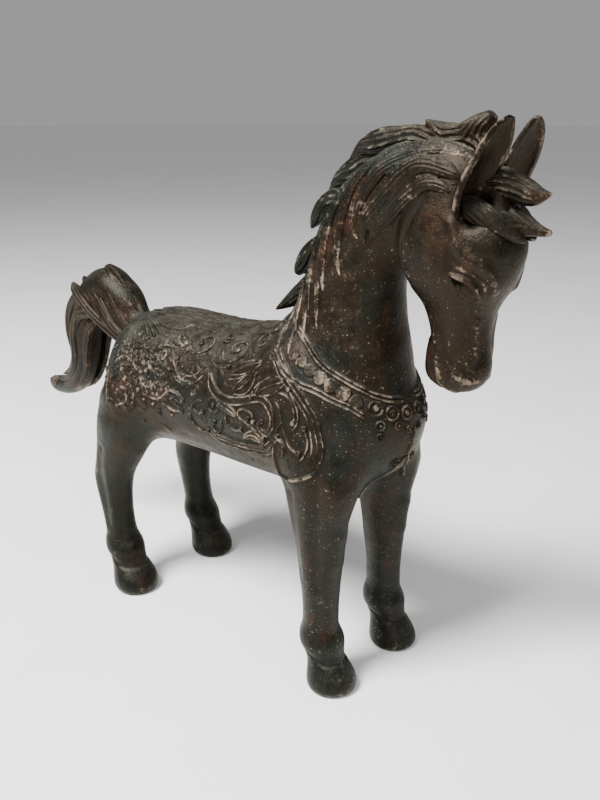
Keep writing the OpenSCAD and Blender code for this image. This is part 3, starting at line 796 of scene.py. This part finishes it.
# Ridges: half-width and height in mm, then how blunt the top is and how brightly it is worn.
# The broad bodies of leaves and bands keep their patina.
FINE = (0.9, 0.66)
UPPER_BODY, LOWER_BODY = (3.4, .4, .4, .56), (2.4, .4, .4, .56)
STEM_BODY, BORDER_CURL = (1.7, .4, .5, .56), (1.3, .85)
LEAF, LEAF_VEIN = {"height": .55, "blunt": .6, "shine": .56}, (.8, 1.15)
FOLIAGE, SPINE_STRAND = (1.5, .75), (1.3, .6, 1.8, .64)
FAN_RIB, FAN_TIP = (1.3, .45, 1.8, .6), (1.4, .8, 1.8, .85)
RIM, APRON_EDGE = (1, .75), (1.5, .8)
ROSETTE_RING, DROP_RING = (.8, .6), (.7, .6)
# Bosses: radius and height in mm, then the stretch and the flat share.
SCROLL_END, FOLIAGE_END, FOLIAGE_START = (1.2, 1), (1.6, .7, 1, .2), (1.3, .6, 1, .2)
COLLAR_BOSS = {"height": .6, "stretch": 1.05, "flat": .78, "shine": .8}
# In the middle of a ring: the share of its radius, and the height in mm.
RING_HEART, ROSETTE_HEART, DROP_HEART = (.4, .8), (.55, .5), (.4, .6)

BORDER = [[33, 19.5], [38, 24], [45, 29], [50, 33], [54, 38], [56, 45], [57, 50], [57, 54],
          [55, 58], [50, 60], [43, 61.5], [38.5, 62], [36.5, 57], [37, 52], [39, 49.5], [41.5, 51],
          [42, 54], [40.5, 55]]
# The border's first rows carry a band, and its last ones a single curl.
BORDER_BAND_POINTS = 9
# Offsets in mm of the bands' fine lines, and how many places short all but the first are.
UPPER_LINES, LOWER_LINES, UPPER_TRIM = (0, 1.8, 3.6), (-1.8, 0, 1.8), 6
LOWER_BAND = [[35.5, 53], [31, 56], [25, 57.5], [18, 59], [11, 59], [4, 58.6], [1, 56]]
STEM = [[-1, 32], [2, 37], [6, 40], [12, 40.8], [19, 39.4], [26, 37], [31, 37], [35, 41],
        [35.5, 45], [33, 49], [29.5, 48], [29, 45.5], [31, 45]]
# The stem's half-width at shares of its length.
STEM_SHARES, STEM_WIDTHS = [0, .1, .5, 1], [.4, 1.6, 1.3, .5]
FINE_SCROLLS = [
    [[37, 33], [41, 33], [44, 35.5], [45.5, 39], [45, 42]],
    [[36, 36], [38.5, 38], [40, 42], [42, 47], [45, 51], [49, 52]],
    [[40, 43], [38, 46], [38.5, 48.5]],
    [[28, 50], [24, 48], [18.5, 46], [18, 43.5], [21, 42.4], [25, 43.6], [26, 46]],
    [[21, 45.4], [23, 45.6]],
    [[-5, 31], [-9, 35], [-14, 36], [-19, 34], [-21, 30]],
    [[-4, 34], [-8, 38], [-14, 39.5], [-20, 38]],
    [[1, 22], [4, 26], [9, 25.6], [13, 22], [12, 18], [8, 17], [5, 19.4], [6.5, 22], [9, 21]],
    [[-20, 20], [-17, 24], [-12, 25.6], [-8, 23], [-7, 19], [-10, 16.6], [-14, 18], [-13, 21]],
    [[8, 50], [8, 53], [5, 56], [2.6, 54], [4, 51.6]],
    [[-10, 51], [-9, 55], [-5, 58], [-1, 57]],
    [[-5, 26], [-1, 28], [3, 29.4], [8, 28]],
    [[10, 33], [15, 31.6], [19, 29.6], [24, 28.6]],
    [[45, 45], [47, 41], [46, 36], [42, 31]],
    [[48, 56], [51, 53], [51.6, 48], [49.6, 43]],
    [[30, 30], [27, 31.4], [24.6, 34], [24, 37]],
    [[14, 45], [11, 47], [12, 50.6], [15.6, 52], [19, 51]],
    [[-2, 44], [-6, 45], [-8, 48], [-5, 50], [-2, 48.4]],
    [[22, 52.6], [27, 53.4], [31, 51]]]
FINE_RINGS = [([4, 44.5], 2.8), ([19.5, 15.5], 3), ([31, 22], 2), ([-1, 16], 2)]
LEAVES = [
    ([[10, 30.5], [15, 28], [20, 26], [25.5, 24.5]], 2.3),
    ([[14, 37], [18, 34.6], [21, 31.6], [23.4, 27.6]], 3),
    ([[26, 35.6], [30, 32.8], [35, 30.6], [40, 29]], 2.8),
    ([[6, 44], [9.6, 43.6], [14, 44.6], [17, 46]], 1.5),
    ([[32, 55], [29, 52.4], [25, 51.4], [20, 54]], 1.4)]
LEAF_ENDS, LEAF_FULLNESS = (.02, .98), .7
RUMP_LINES = [
    [[-31, 26], [-27, 26], [-24, 29], [-21, 33.6], [-17, 37.4], [-11, 39]],
    [[-48, 32], [-43, 29.8], [-38, 29.6], [-33, 31.6]],
    [[-56, 38], [-51, 35], [-45, 36.4], [-40, 40]],
    [[-36, 35], [-32, 38], [-27, 38.6], [-24, 36]],
    [[-50, 47], [-46, 48.6], [-46.4, 52.6], [-51, 54.5]],
    [[-44, 45], [-41.6, 49], [-43.6, 54]],
    [[-59, 45], [-59, 50], [-57, 54]],
    [[-38, 44], [-33, 44.6], [-29, 42], [-25, 43]],
    [[-31, 33], [-33.6, 30], [-31, 27.6], [-27.6, 29.4], [-28.4, 32]],
    [[-24, 20], [-28, 17], [-27, 12.6], [-22.6, 12]],
    [[-36, 48], [-31, 49], [-26, 47.6], [-22, 44], [-17, 44], [-14, 46.6]],
    [[-22, 24], [-25.6, 22], [-27.4, 18]],
    [[-24, 50], [-20, 52], [-15, 51.4]]]
# Patches of worn foliage: how many lumps, (middle, spread) along and down, height and shine.
CRUMBS = [(330, (-39, 12), (40, 7.5), .7, 1.1), (150, (-4, 17), (24, 9), .35, .6),
          (70, (20, 14), (48, 6), .3, .6)]
CRUMB_FLAT, CRUMB_RADIUS, CRUMB_HEIGHT = .1, (.5, 2), (.4, 1)
CRUMB_STRETCH, CRUMB_SHINE = (.6, 1.9), (.6, 1)
FAN_ROOT = [-63, 10]
FAN_RIBS = 9
# From the first rib to the last: degrees turned from +X towards down, and length in mm.
FAN_TURNS = (24, 68)
FAN_REACH = (28, 23)
# Shares of a rib's length where it starts and bends, and twice the outer ribs' bend in mm.
FAN_START, FAN_BEND, FAN_SWAY = .25, .65, 1.5
# Combed strands over the croup and back: [along X, down from the spine].
SPINE_STRANDS = [
    [[-62, 3], [-50, 5], [-38, 3.4], [-26, 5.4], [-14, 4], [-4, 5.6]],
    [[-58, 7], [-46, 9], [-35, 7.4], [-24, 9.4], [-12, 8], [0, 9.6]],
    [[-50, 12], [-40, 11], [-31, 13], [-21, 12], [-11, 13.4]],
    [[-54, 1], [-42, 2], [-30, .8], [-18, 2.2], [-8, 1]],
    [[-44, 15.6], [-35, 17], [-28, 15.4]],
    [[-10, 3], [0, 2], [9, 3.6], [17, 2.4]],
    [[-2, 7], [8, 6], [16, 8], [24, 7]],
    [[2, 12], [12, 11], [21, 12.6], [29, 12]]]
COLLAR_UPPER = [[-122, 138], [-112, 136.4], [-100, 134], [-80, 128], [-60, 124], [-45, 121],
                [-34, 118.6], [-20, 116.6], [-8, 116]]
COLLAR_LOWER = [[-132, 129.6], [-120, 127], [-110, 124], [-95, 121], [-80, 119.4], [-65, 116.6],
                [-52, 114.6], [-42, 112]]
COLLAR_HALF_GAP = .75
# (place, radius).
COLLAR_BOSSES = [([-107, 129.6], 2.2), ([-98, 128], 2.5), ([-89, 125.8], 2.6), ([-79, 123.8], 2.8),
                 ([-69, 121.4], 2.9), ([-58.4, 119], 2.9), ([-48, 116.6], 2.6)]
ROSETTES = [([68.4, -13.1, 113.5], 2.5), ([71.4, -8.4, 111.6], 2.4), ([73, -3, 110.8], 2.3)]
DROPS = [([70.7, -13.2, 108.2], 1.6), ([71.4, -13.4, 104.4], 1.3), ([73, -7, 107.6], 1.4),
         ([72.4, -5, 91.9], 1.9), ([74, -2.6, 105.6], 1.2)]
APRON = [
    [[74.6, 0, 106], [74.4, 0, 100], [73.4, 0, 94.6]],
    [[73.6, -.6, 94.4], [71, -3.6, 89.6], [67.6, -7.6, 86], [64, -12, 83], [60, -15.6, 80]]]


def traced(lay, line, step=STEP):
    """A flat line, curved smoothly and laid on the skin."""
    return lay(along(line, step=step, axes=2))


def set_down(lay, place):
    """One flat place laid on the skin."""
    return lay(np.array([place], float))[0]


def saddle_border(r, flank):
    band = along(BORDER[:BORDER_BAND_POINTS], step=STEP, axes=2)
    r.ridge(flank(beside(band, UPPER_LINES[1])), *UPPER_BODY)
    for offset in UPPER_LINES:
        trim = UPPER_TRIM if offset else 0
        r.ridge(flank(beside(band, offset)[:len(band) - trim]), *FINE)
    r.ridge(traced(flank, BORDER[BORDER_BAND_POINTS - 2:]), *BORDER_CURL)
    lower = along(LOWER_BAND, step=STEP, axes=2)
    r.ridge(flank(lower), *LOWER_BODY)
    for offset in LOWER_LINES:
        r.ridge(flank(beside(lower, offset)), *FINE)


def saddle_scrolls(r, flank):
    stem = along(STEM, step=STEP, axes=2)
    wide = np.interp(np.linspace(0, 1, len(stem)), STEM_SHARES, STEM_WIDTHS)
    r.ridge(flank(stem), *STEM_BODY)
    for offset in (wide, -wide):
        r.ridge(flank(beside(stem, offset)), *FINE)
    for line in FINE_SCROLLS:
        r.ridge(traced(flank, line), *FINE)
        r.boss(set_down(flank, line[-1]), *SCROLL_END)
    for place, radius in FINE_RINGS:
        r.ringed_boss(set_down(flank, place), radius, FINE, *RING_HEART)


def saddle_leaves(r, flank):
    for line, wide in LEAVES:
        middle = along(line, step=STEP, axes=2)
        share = np.linspace(*LEAF_ENDS, len(middle))
        swell = wide * np.sin(share * np.pi) ** LEAF_FULLNESS
        spots = flank(middle)
        r.ridge(spots, wide, **LEAF)
        for offset in (swell, -swell):
            r.ridge(flank(beside(middle, offset)), *FINE)
        r.ridge(spots, *LEAF_VEIN)


def rump_scrolls(r, flank):
    for line in RUMP_LINES:
        spots = traced(flank, line)
        r.ridge(spots, *FOLIAGE)
        r.boss(spots[-1], *FOLIAGE_END)
        r.boss(spots[0], *FOLIAGE_START)
    for count, along_x, down, height, shine in CRUMBS:
        for _ in range(count):
            spot = set_down(flank, [dice.normal(*along_x), dice.normal(*down)])
            r.boss(spot, dice.uniform(*CRUMB_RADIUS), height * dice.uniform(*CRUMB_HEIGHT),
                   dice.uniform(*CRUMB_STRETCH), CRUMB_FLAT, (dice.normal(), 0, dice.normal()),
                   shine * dice.uniform(*CRUMB_SHINE))


def croup_fan(r, flank):
    root = np.array(FAN_ROOT, float)
    for share in np.linspace(0, 1, FAN_RIBS):
        turn = math.radians(np.interp(share, (0, 1), FAN_TURNS))
        way = np.array([math.cos(turn), math.sin(turn)])
        rib = way * np.interp(share, (0, 1), FAN_REACH)
        sway = np.array([-way[1], way[0]]) * FAN_SWAY * (share - .5)
        spots = traced(flank, [root + rib * FAN_START, root + rib * FAN_BEND + sway, root + rib])
        r.ridge(spots, *FAN_RIB)
        r.ridge(spots[len(spots) // 2:], *FAN_TIP)
    for line in SPINE_STRANDS:
        r.ridge(traced(flank, line), *SPINE_STRAND)


def collar_rims(r, neck):
    for line in (COLLAR_UPPER, COLLAR_LOWER):
        for offset in (-COLLAR_HALF_GAP, COLLAR_HALF_GAP):
            r.ridge(traced(neck, np.array(line, float) + [0, offset], COLLAR_STEP), *RIM)
    for line in APRON:
        r.ridge(along(line, step=STEP), *APRON_EDGE)


def collar_bosses(r, neck):
    for place, radius in COLLAR_BOSSES:
        r.boss(set_down(neck, place), radius, **COLLAR_BOSS)


def collar_drops(r, neck):
    for spot, radius in ROSETTES:
        r.ringed_boss(spot, radius, ROSETTE_RING, *ROSETTE_HEART)
    for spot, radius in DROPS:
        r.ringed_boss(spot, radius, DROP_RING, *DROP_HEART)


# ---- Materials ----

DARK_BROWN = (0.0072, 0.0042, 0.0021)
GREEN_BLACK = (0.0038, 0.0047, 0.0034)
RED_BROWN = (0.019, 0.0072, 0.0037)
WORN_GOLD = (0.22, 0.168, 0.122)
# Painted shade with grime: the dark that fills hollows and the foot of the relief.
GRIME_AND_SHADE = (0.006, 0.005, 0.004)
DUST = (0.42, 0.39, 0.34)
# A pale film on upward faces: partly settled dust, partly painted light from above.
TOP_DUST_AND_LIGHT = (0.095, 0.093, 0.078)
BROWN_SHEEN, GREEN_SHEEN = (1.0, 0.84, 0.64), (0.96, 1.0, 0.87)
FLOOR_DULL, FLOOR_BRIGHT = (0.9, 0.9, 0.895), (0.94, 0.94, 0.935)
# Metres along X over which the head turns brown, and down Z over which the legs turn green.
HEAD_BROWN, LEGS_GREEN = (0.085, 0.105), (0.1, 0.06)
# Dust lies thickest on the neck and breast: it comes on along X and goes off up Z, in metres.
DUST_ALONG, DUST_UP = (0.03, 0.062), (0.19, 0.155)
METALLIC, SPECULAR = 0.25, 0.2
# In mm: the cells that may hold a speck of dust, and the depth of the grain.
SPECK_SPACING, BUMP_DEPTH = 0.95, 0.5


class Nodes:
    """Builds one material's nodes; sizes are in mm."""

    def __init__(self, name):
        self.material = bpy.data.materials.new(name)
        self.material.use_nodes = True
        self.tree = self.material.node_tree
        self.shader = self.tree.nodes["Principled BSDF"].inputs
        self.place = self.node("ShaderNodeTexCoord").outputs["Object"]

    def node(self, kind, inputs=None, **settings):
        node = self.tree.nodes.new(kind)
        for key, value in settings.items():
            setattr(node, key, value)
        for key, value in (inputs or {}).items():
            self.give(node.inputs[key], value)
        return node

    def give(self, socket, value):
        if isinstance(value, bpy.types.NodeSocket):
            self.tree.links.new(value, socket)
        elif isinstance(value, tuple) and len(socket.default_value) == 4:
            socket.default_value = (*value, 1)
        else:
            socket.default_value = value

    def noise(self, size, detail, rough=0.6, offset=(0, 0, 0), scale=(1, 1, 1)):
        inputs = {"Vector": self.place, "Location": Vector(offset), "Scale": Vector(scale)}
        place = self.node("ShaderNodeMapping", inputs).outputs["Vector"]
        inputs = {"Vector": place, "Scale": 1 / (size * MM), "Detail": detail, "Roughness": rough}
        return self.node("ShaderNodeTexNoise", inputs).outputs["Fac"]

    def ramp(self, value, low, high, start=0.0, end=1.0):
        inputs = {"Value": value, "From Min": low, "From Max": high, "To Min": start,
                  "To Max": end}
        return self.node("ShaderNodeMapRange", inputs,
                         interpolation_type="SMOOTHSTEP").outputs["Result"]

    def spread(self, noise, start, end):
        """Start to end over the middle of a noise's range."""
        return self.ramp(noise, 0.3, 0.7, start, end)

    def math(self, operation, a, b):
        node = self.node("ShaderNodeMath", operation=operation)
        self.give(node.inputs[0], a)
        self.give(node.inputs[1], b)
        return node.outputs[0]

    def add(self, first, *others):
        for other in others:
            first = self.math("ADD", first, other)
        return first

    def times(self, a, b):
        return self.math("MULTIPLY", a, b)

    def mix(self, share, a, b, kind="MIX"):
        node = self.node("ShaderNodeMix", data_type="RGBA", blend_type=kind)
        for k, value in ((0, share), (6, a), (7, b)):
            self.give(node.inputs[k], value)
        return node.outputs[2]

    def parts(self, vector):
        """The X, Y and Z sockets of a vector."""
        return self.node("ShaderNodeSeparateXYZ", {"Vector": vector}).outputs

    def bump(self, height, strength, depth):
        inputs = {"Height": height, "Strength": strength, "Distance": depth * MM}
        self.give(self.shader["Normal"], self.node("ShaderNodeBump", inputs).outputs["Normal"])


def bronze_material(name, green, red, worn, dust, grain, top_dust_and_light=0.3):
    """Dark patina: wear on what stands out, painted shade with grime in what lies deep, dust that
    has settled, and a pale film on upward faces, partly settled dust and partly painted light from
    above.

    The point attribute edge is 0.5 on plain skin, more on crests and less in hollows.
    """
    n = Nodes(name)
    large = n.noise(30, 3)
    patch = n.noise(17, 4, offset=(0.31, 0.17, 0.23))
    middle = n.noise(5.5, 5)
    small = n.noise(1.3, 5, 0.7)
    streak = n.noise(3, 4, scale=(1, 1, 0.13))
    scuffs = n.noise(0.9, 3, 0.7, scale=(1, 1, 0.4))
    spot = n.parts(n.place)

    greener = n.times(n.ramp(large, 0.42, 0.6, 0, green), n.ramp(spot["X"], *HEAD_BROWN, 1, 0.35))
    greener = n.math("MAXIMUM", greener, n.ramp(spot["Z"], *LEGS_GREEN, 0, 0.8 * green))
    color = n.mix(greener, DARK_BROWN, GREEN_BLACK)
    color = n.mix(n.ramp(patch, 0.52, 0.68, 0, red), color, RED_BROWN)
    mottle = n.add(n.spread(middle, 0.45, 1.25), n.spread(streak, -0.2, 0.4),
                   n.spread(small, -0.25, 0.35))
    grey = n.node("ShaderNodeCombineColor", {"Red": mottle, "Green": mottle, "Blue": mottle})
    color = n.mix(1.0, color, grey.outputs[0], "MULTIPLY")

    edge = n.node("ShaderNodeAttribute", attribute_name="edge").outputs["Fac"]
    rubbed = n.add(edge, n.spread(middle, -0.32, 0.17), n.spread(small, -0.2, 0.16))
    color = n.mix(n.ramp(rubbed, 0.72, 1.12, 0, worn), color, WORN_GOLD)
    scuff = n.times(n.ramp(scuffs, 0.62, 0.74), n.ramp(middle, 0.5, 0.68, 0, 0.35 * worn))
    color = n.mix(scuff, color, WORN_GOLD)
    # Painted shade: low edge values, in hollows and at the relief's foot, darken the colour,
    # together with grime.
    grime_and_shade = n.ramp(n.add(edge, n.spread(small, -0.08, 0.08)), 0.2, 0.47, 0.92, 0)
    color = n.mix(grime_and_shade, color, GRIME_AND_SHADE)

    # Painted light from above, with settled dust: upward faces are lightened towards a pale film.
    up = n.parts(n.node("ShaderNodeNewGeometry").outputs["Normal"])["Z"]
    top_dust_and_light_share = n.times(n.ramp(up, 0.3, 0.95, 0, top_dust_and_light),
                        n.ramp(n.add(middle, small), 0.8, 1.15, 0.25, 1))
    color = n.mix(top_dust_and_light_share, color, TOP_DUST_AND_LIGHT)

    cells = n.node("ShaderNodeTexVoronoi", {"Vector": n.place, "Scale": 1 / (SPECK_SPACING * MM)})
    thick = n.times(n.ramp(spot["X"], *DUST_ALONG), n.ramp(spot["Z"], *DUST_UP))
    bare = n.ramp(thick, 0, 1, 1 - 0.05 * dust, 1 - dust)
    chosen = n.math("GREATER_THAN", cells.outputs["Color"], bare)
    far = n.times(cells.outputs["Distance"], n.ramp(small, 0.35, 0.65, 2.4, 0.8))
    speck = n.times(n.ramp(far, 0.19, 0.09), chosen)
    settled = n.times(speck, n.ramp(middle, 0.42, 0.58, 0.1, 1))
    n.give(n.shader["Base Color"], n.mix(settled, color, DUST))

    rough = n.add(n.spread(middle, 0.3, 0.46), n.spread(small, -0.05, 0.09), n.times(grime_and_shade, 0.3),
                  n.times(settled, 0.4))
    n.give(n.shader["Roughness"], rough)
    n.give(n.shader["Metallic"], METALLIC)
    n.give(n.shader["Specular IOR Level"], SPECULAR)
    n.give(n.shader["Specular Tint"], n.mix(greener, BROWN_SHEEN, GREEN_SHEEN))

    pits = n.ramp(n.noise(2.1, 2, offset=(0.7, 0.2, 0.5)), 0.25, 0.36)
    n.bump(n.add(n.times(small, 0.55), n.times(middle, 0.8), n.times(pits, 0.25),
                 n.times(settled, 0.3)), grain, BUMP_DEPTH)
    return n.material


def floor_material():
    n = Nodes("studio_floor")
    tone = n.spread(n.noise(160, 4), 0, 1)
    n.give(n.shader["Base Color"], n.mix(tone, FLOOR_DULL, FLOOR_BRIGHT))
    n.give(n.shader["Roughness"], n.spread(n.noise(40, 4), 0.75, 0.9))
    n.bump(n.noise(3, 3), 0.1, 0.3)
    return n.material


bronze = bronze_material("patinated_bronze", green=0.9, red=0.8, worn=0.7, dust=0.9, grain=1.0)
mane_bronze = bronze_material("mane_bronze", green=1.0, red=0.4, worn=0.75, dust=0.6, grain=0.9,
                              top_dust_and_light=0.45)
tail_bronze = bronze_material("tail_bronze", green=0.3, red=0.7, worn=0.4, dust=0.2, grain=0.9,
                              top_dust_and_light=0.15)
relief_bronze = bronze_material("worn_relief", green=0.6, red=0.7, worn=0.72, dust=0.3, grain=1.0,
                                top_dust_and_light=0.4)

# ---- Making the pieces ----

BODY_VOXEL = 0.6
# The head's finer skin is used up to where the head is HEAD_LEAD mm farther than another node,
# and not within HEAD_RIM mm of the edge of its field.
HEAD_LEAD, HEAD_RIM = 1.5, 2

fine = Field(low, high, BODY_VOXEL)
body_fine = np.maximum(coarse.resampled(body, fine), -fine.axis(2))
chased(fine, body_fine, body_fine.copy(), LEG_RAISED, LEG_CUT)
body_fine = np.maximum(body_fine, -fine.axis(2))
head_grid = Field(HEAD_LOW, HEAD_HIGH, HEAD_VOXEL)
head_fine = sculpted_head(head_grid)


def owners(places):
    """For each place, its distance to every body node."""
    return np.array([coarse.at(node_fields[n], places) for n in BODY])


points, quads = fine.skin(body_fine)
nearest = owners(points[quads].mean(1)).argmin(0)
head_index = list(BODY).index("head")
head_points, head_quads = head_grid.skin(head_fine)
head_far = owners(head_points[head_quads].mean(1))
head_part = head_far[head_index] < np.delete(head_far, head_index, 0).min(0) + HEAD_LEAD
inside = ((head_points > np.array(HEAD_LOW) + HEAD_RIM).all(1)
          & (head_points < np.array(HEAD_HIGH) - HEAD_RIM).all(1))
head_part &= inside[head_quads].all(1)
surface = Surface(*heap([(points, quads[nearest != head_index]),
                         (head_points, head_quads[head_part])]))

RIGHT = np.array([0.0, -1.0, 0.0])
SIDE_VOXEL, SIDE_SOFT, EAR_VOXEL = 0.32, 0.3, 0.35
# Shares of the side locks' drawn width and depth.
SIDE_SLIM = (0.92, 0.85)

crest = [lock(rows, RIGHT, 13, .26, 4) for rows in CREST_LOCKS]
hair_piece("mane_locks", crest, (4, -9, 128), (106, 9, 212.2), mane_bronze, "mane_crest")
sides = []
for rows in SIDE_LOCKS:
    placed, facing = on_skin(rows, surface)
    placed[:, 3:5] *= SIDE_SLIM
    sides.append(lock(placed, facing, 11, .6, 3.2))
hair_piece("mane_strands_right_locks", sides, (10, -26, 116), (108, 0, 209), mane_bronze,
           "mane_strands_right", SIDE_VOXEL, SIDE_SOFT)
hair_piece("mane_strands_left_locks", [flipped(m) for m in sides], (10, 0, 116), (108, 26, 209),
           mane_bronze, "mane_strands_left", SIDE_VOXEL, SIDE_SOFT)
forelocks = [lock(rows, RIGHT, 13, .2, 3.5) for rows in FORELOCKS]
hair_piece("forelock_locks", forelocks, (86, -12, 170), (124, 12, 200), mane_bronze, "forelock")
tail = [lock(rows, RIGHT, 7, .2, 1.5) for rows in TAIL_LOCKS]
hair_piece("tail_locks", tail + [flipped(m) for m in tail], (-158, -14, 70), (-66, 14, 148),
           tail_bronze, "tail")
hair_piece("ear_right_leaf", [ear(EAR_OPENING["right"])], (88, -24, 172), (120, 0, 212), bronze,
           "ear_right", EAR_VOXEL)
hair_piece("ear_left_leaf", [flipped(ear(EAR_OPENING["left"]))], (88, 0, 172), (120, 24, 212),
           bronze, "ear_left", EAR_VOXEL)

laid_points = []
for side, sign in SIDES.items():
    def flank(places, sign=sign):
        return on_flank(places, sign, surface)
    for make in (saddle_border, saddle_scrolls, saddle_leaves, rump_scrolls, croup_fan):
        relief = Relief(surface)
        make(relief, flank)
        node = f"{make.__name__}_{side}"
        laid_points.append(relief.piece(node + "_relief", node))


def neck(places):
    return on_neck(places, surface)


for make, node in ((collar_rims, "breast_collar"), (collar_bosses, "collar_bosses"),
                   (collar_drops, "collar_drops")):
    relief = Relief(surface)
    make(relief, neck)
    relief.meshes += [flipped(m) for m in relief.meshes]
    relief.edges += relief.edges
    laid_points.append(relief.piece(node + "_relief", node))

# Skins come last, so that painted shade can gather along the foot of the relief. Spreads are in
# voxels.
RELIEF_SHADE_SPREAD, RELIEF_SHADE_DEPTH, RELIEF_SHADE_FULL = 1.6, 0.34, .6
EDGE_REACH, EDGE_SPREAD = 2.0, 2.0
EDGE_GAIN, HEAD_GAIN = 1.1, 1.9
# Painted shade in the eye sockets: how far the edge value drops there, and over how many voxels it
# fades.
SOCKET_SHADE, SOCKET_SPREAD = .32, 1.0
# Painted shade along the relief: skin voxels near the laid relief are marked, spread, and lower
# the edge value.
where = np.round(np.concatenate(laid_points) / fine.voxel).astype(int) - fine.first
relief_foot_shade = np.zeros(fine.count, np.float32)
relief_foot_shade[tuple(where.T)] = 1
relief_foot_shade = blurred(relief_foot_shade, RELIEF_SHADE_SPREAD)
relief_foot_shade *= RELIEF_SHADE_DEPTH / np.quantile(relief_foot_shade[tuple(where.T)], RELIEF_SHADE_FULL)


def edges(field, d, places, gain):
    """The edge value at places on the skin of d: crests are high; hollows, and the skin along the
    relief's foot where shade is painted, are low.
    """
    near = np.clip(d, -EDGE_REACH, EDGE_REACH)
    bend = field.at(blurred(near, EDGE_SPREAD) - near, places)
    return .5 + gain * bend - np.minimum(fine.at(relief_foot_shade, places), RELIEF_SHADE_DEPTH)


body_normals = fine.outward(body_fine, points)
body_edges = edges(fine, body_fine, points, EDGE_GAIN)
# The eye sockets are darkened with painted shade.
socket = head_grid.at(both(head_grid.of_egg(*SOCKET)), head_points)
head_edges = (edges(head_grid, head_fine, head_points, HEAD_GAIN)
              - SOCKET_SHADE * np.clip(1 - socket / SOCKET_SPREAD, 0, 1))
for k, node in enumerate(BODY):
    if node == "head":
        skin = head_points, head_quads[head_part]
        edge, normals = head_edges, head_grid.outward(head_fine, head_points)
    else:
        skin = points, quads[nearest == k]
        edge, normals = body_edges, body_normals
    piece(node + "_skin", *skin, bronze, "patinated_bronze", node, edge, normals)

# ---- Stage ----

CAMERA_TURN, CAMERA_RISE, CAMERA_FAR = math.radians(41.7), math.radians(18.15), 333
TARGET = Vector((39.6, 0, 103.7))
LENS, SENSOR = 38.25, 27
# In metres from here on.
CLIP = (0.01, 100)
LAMP_TARGET, LAMP_SIZE = Vector((0.03, 0, 0.1)), 0.4
FLOOR_REACH = 40
SKY_STRENGTH = 0.36


def aimed(obj, place, back):
    """obj put at place, to look the opposite way to back."""
    obj.location = place
    obj.rotation_mode = "QUATERNION"
    obj.rotation_quaternion = back.to_track_quat("Z", "Y")


def camera():
    lens = bpy.data.cameras.new("camera")
    lens.lens = LENS
    lens.sensor_fit = "HORIZONTAL"
    lens.sensor_width = SENSOR
    lens.clip_start, lens.clip_end = CLIP
    back = Vector((math.sin(CAMERA_TURN) * math.cos(CAMERA_RISE),
                   -math.cos(CAMERA_TURN) * math.cos(CAMERA_RISE), math.sin(CAMERA_RISE)))
    obj = shown("camera", lens)
    aimed(obj, (TARGET + back * CAMERA_FAR) * MM, back)
    bpy.context.scene.camera = obj


def area_light(name, place, power):
    lamp = bpy.data.lights.new(name, "AREA")
    lamp.size = LAMP_SIZE
    lamp.energy = power
    aimed(shown(name, lamp), place, Vector(place) - LAMP_TARGET)


def floor():
    mesh = bpy.data.meshes.new("floor")
    far = FLOOR_REACH
    corners = [(-far, -far, 0), (far, -far, 0), (far, far, 0), (-far, far, 0)]
    mesh.from_pydata(corners, [], [(0, 1, 2, 3)])
    mesh.materials.append(floor_material())
    shown("floor", mesh)


def sky():
    world = bpy.data.worlds.new("studio")
    bpy.context.scene.world = world
    world.use_nodes = True
    background = world.node_tree.nodes["Background"]
    background.inputs["Color"].default_value = (1, 1, 1, 1)
    background.inputs["Strength"].default_value = SKY_STRENGTH


camera()
floor()
sky()
area_light("key", (-0.1, -0.6, 0.95), 38)
area_light("fill", (0.6, -0.4, 0.6), 3)
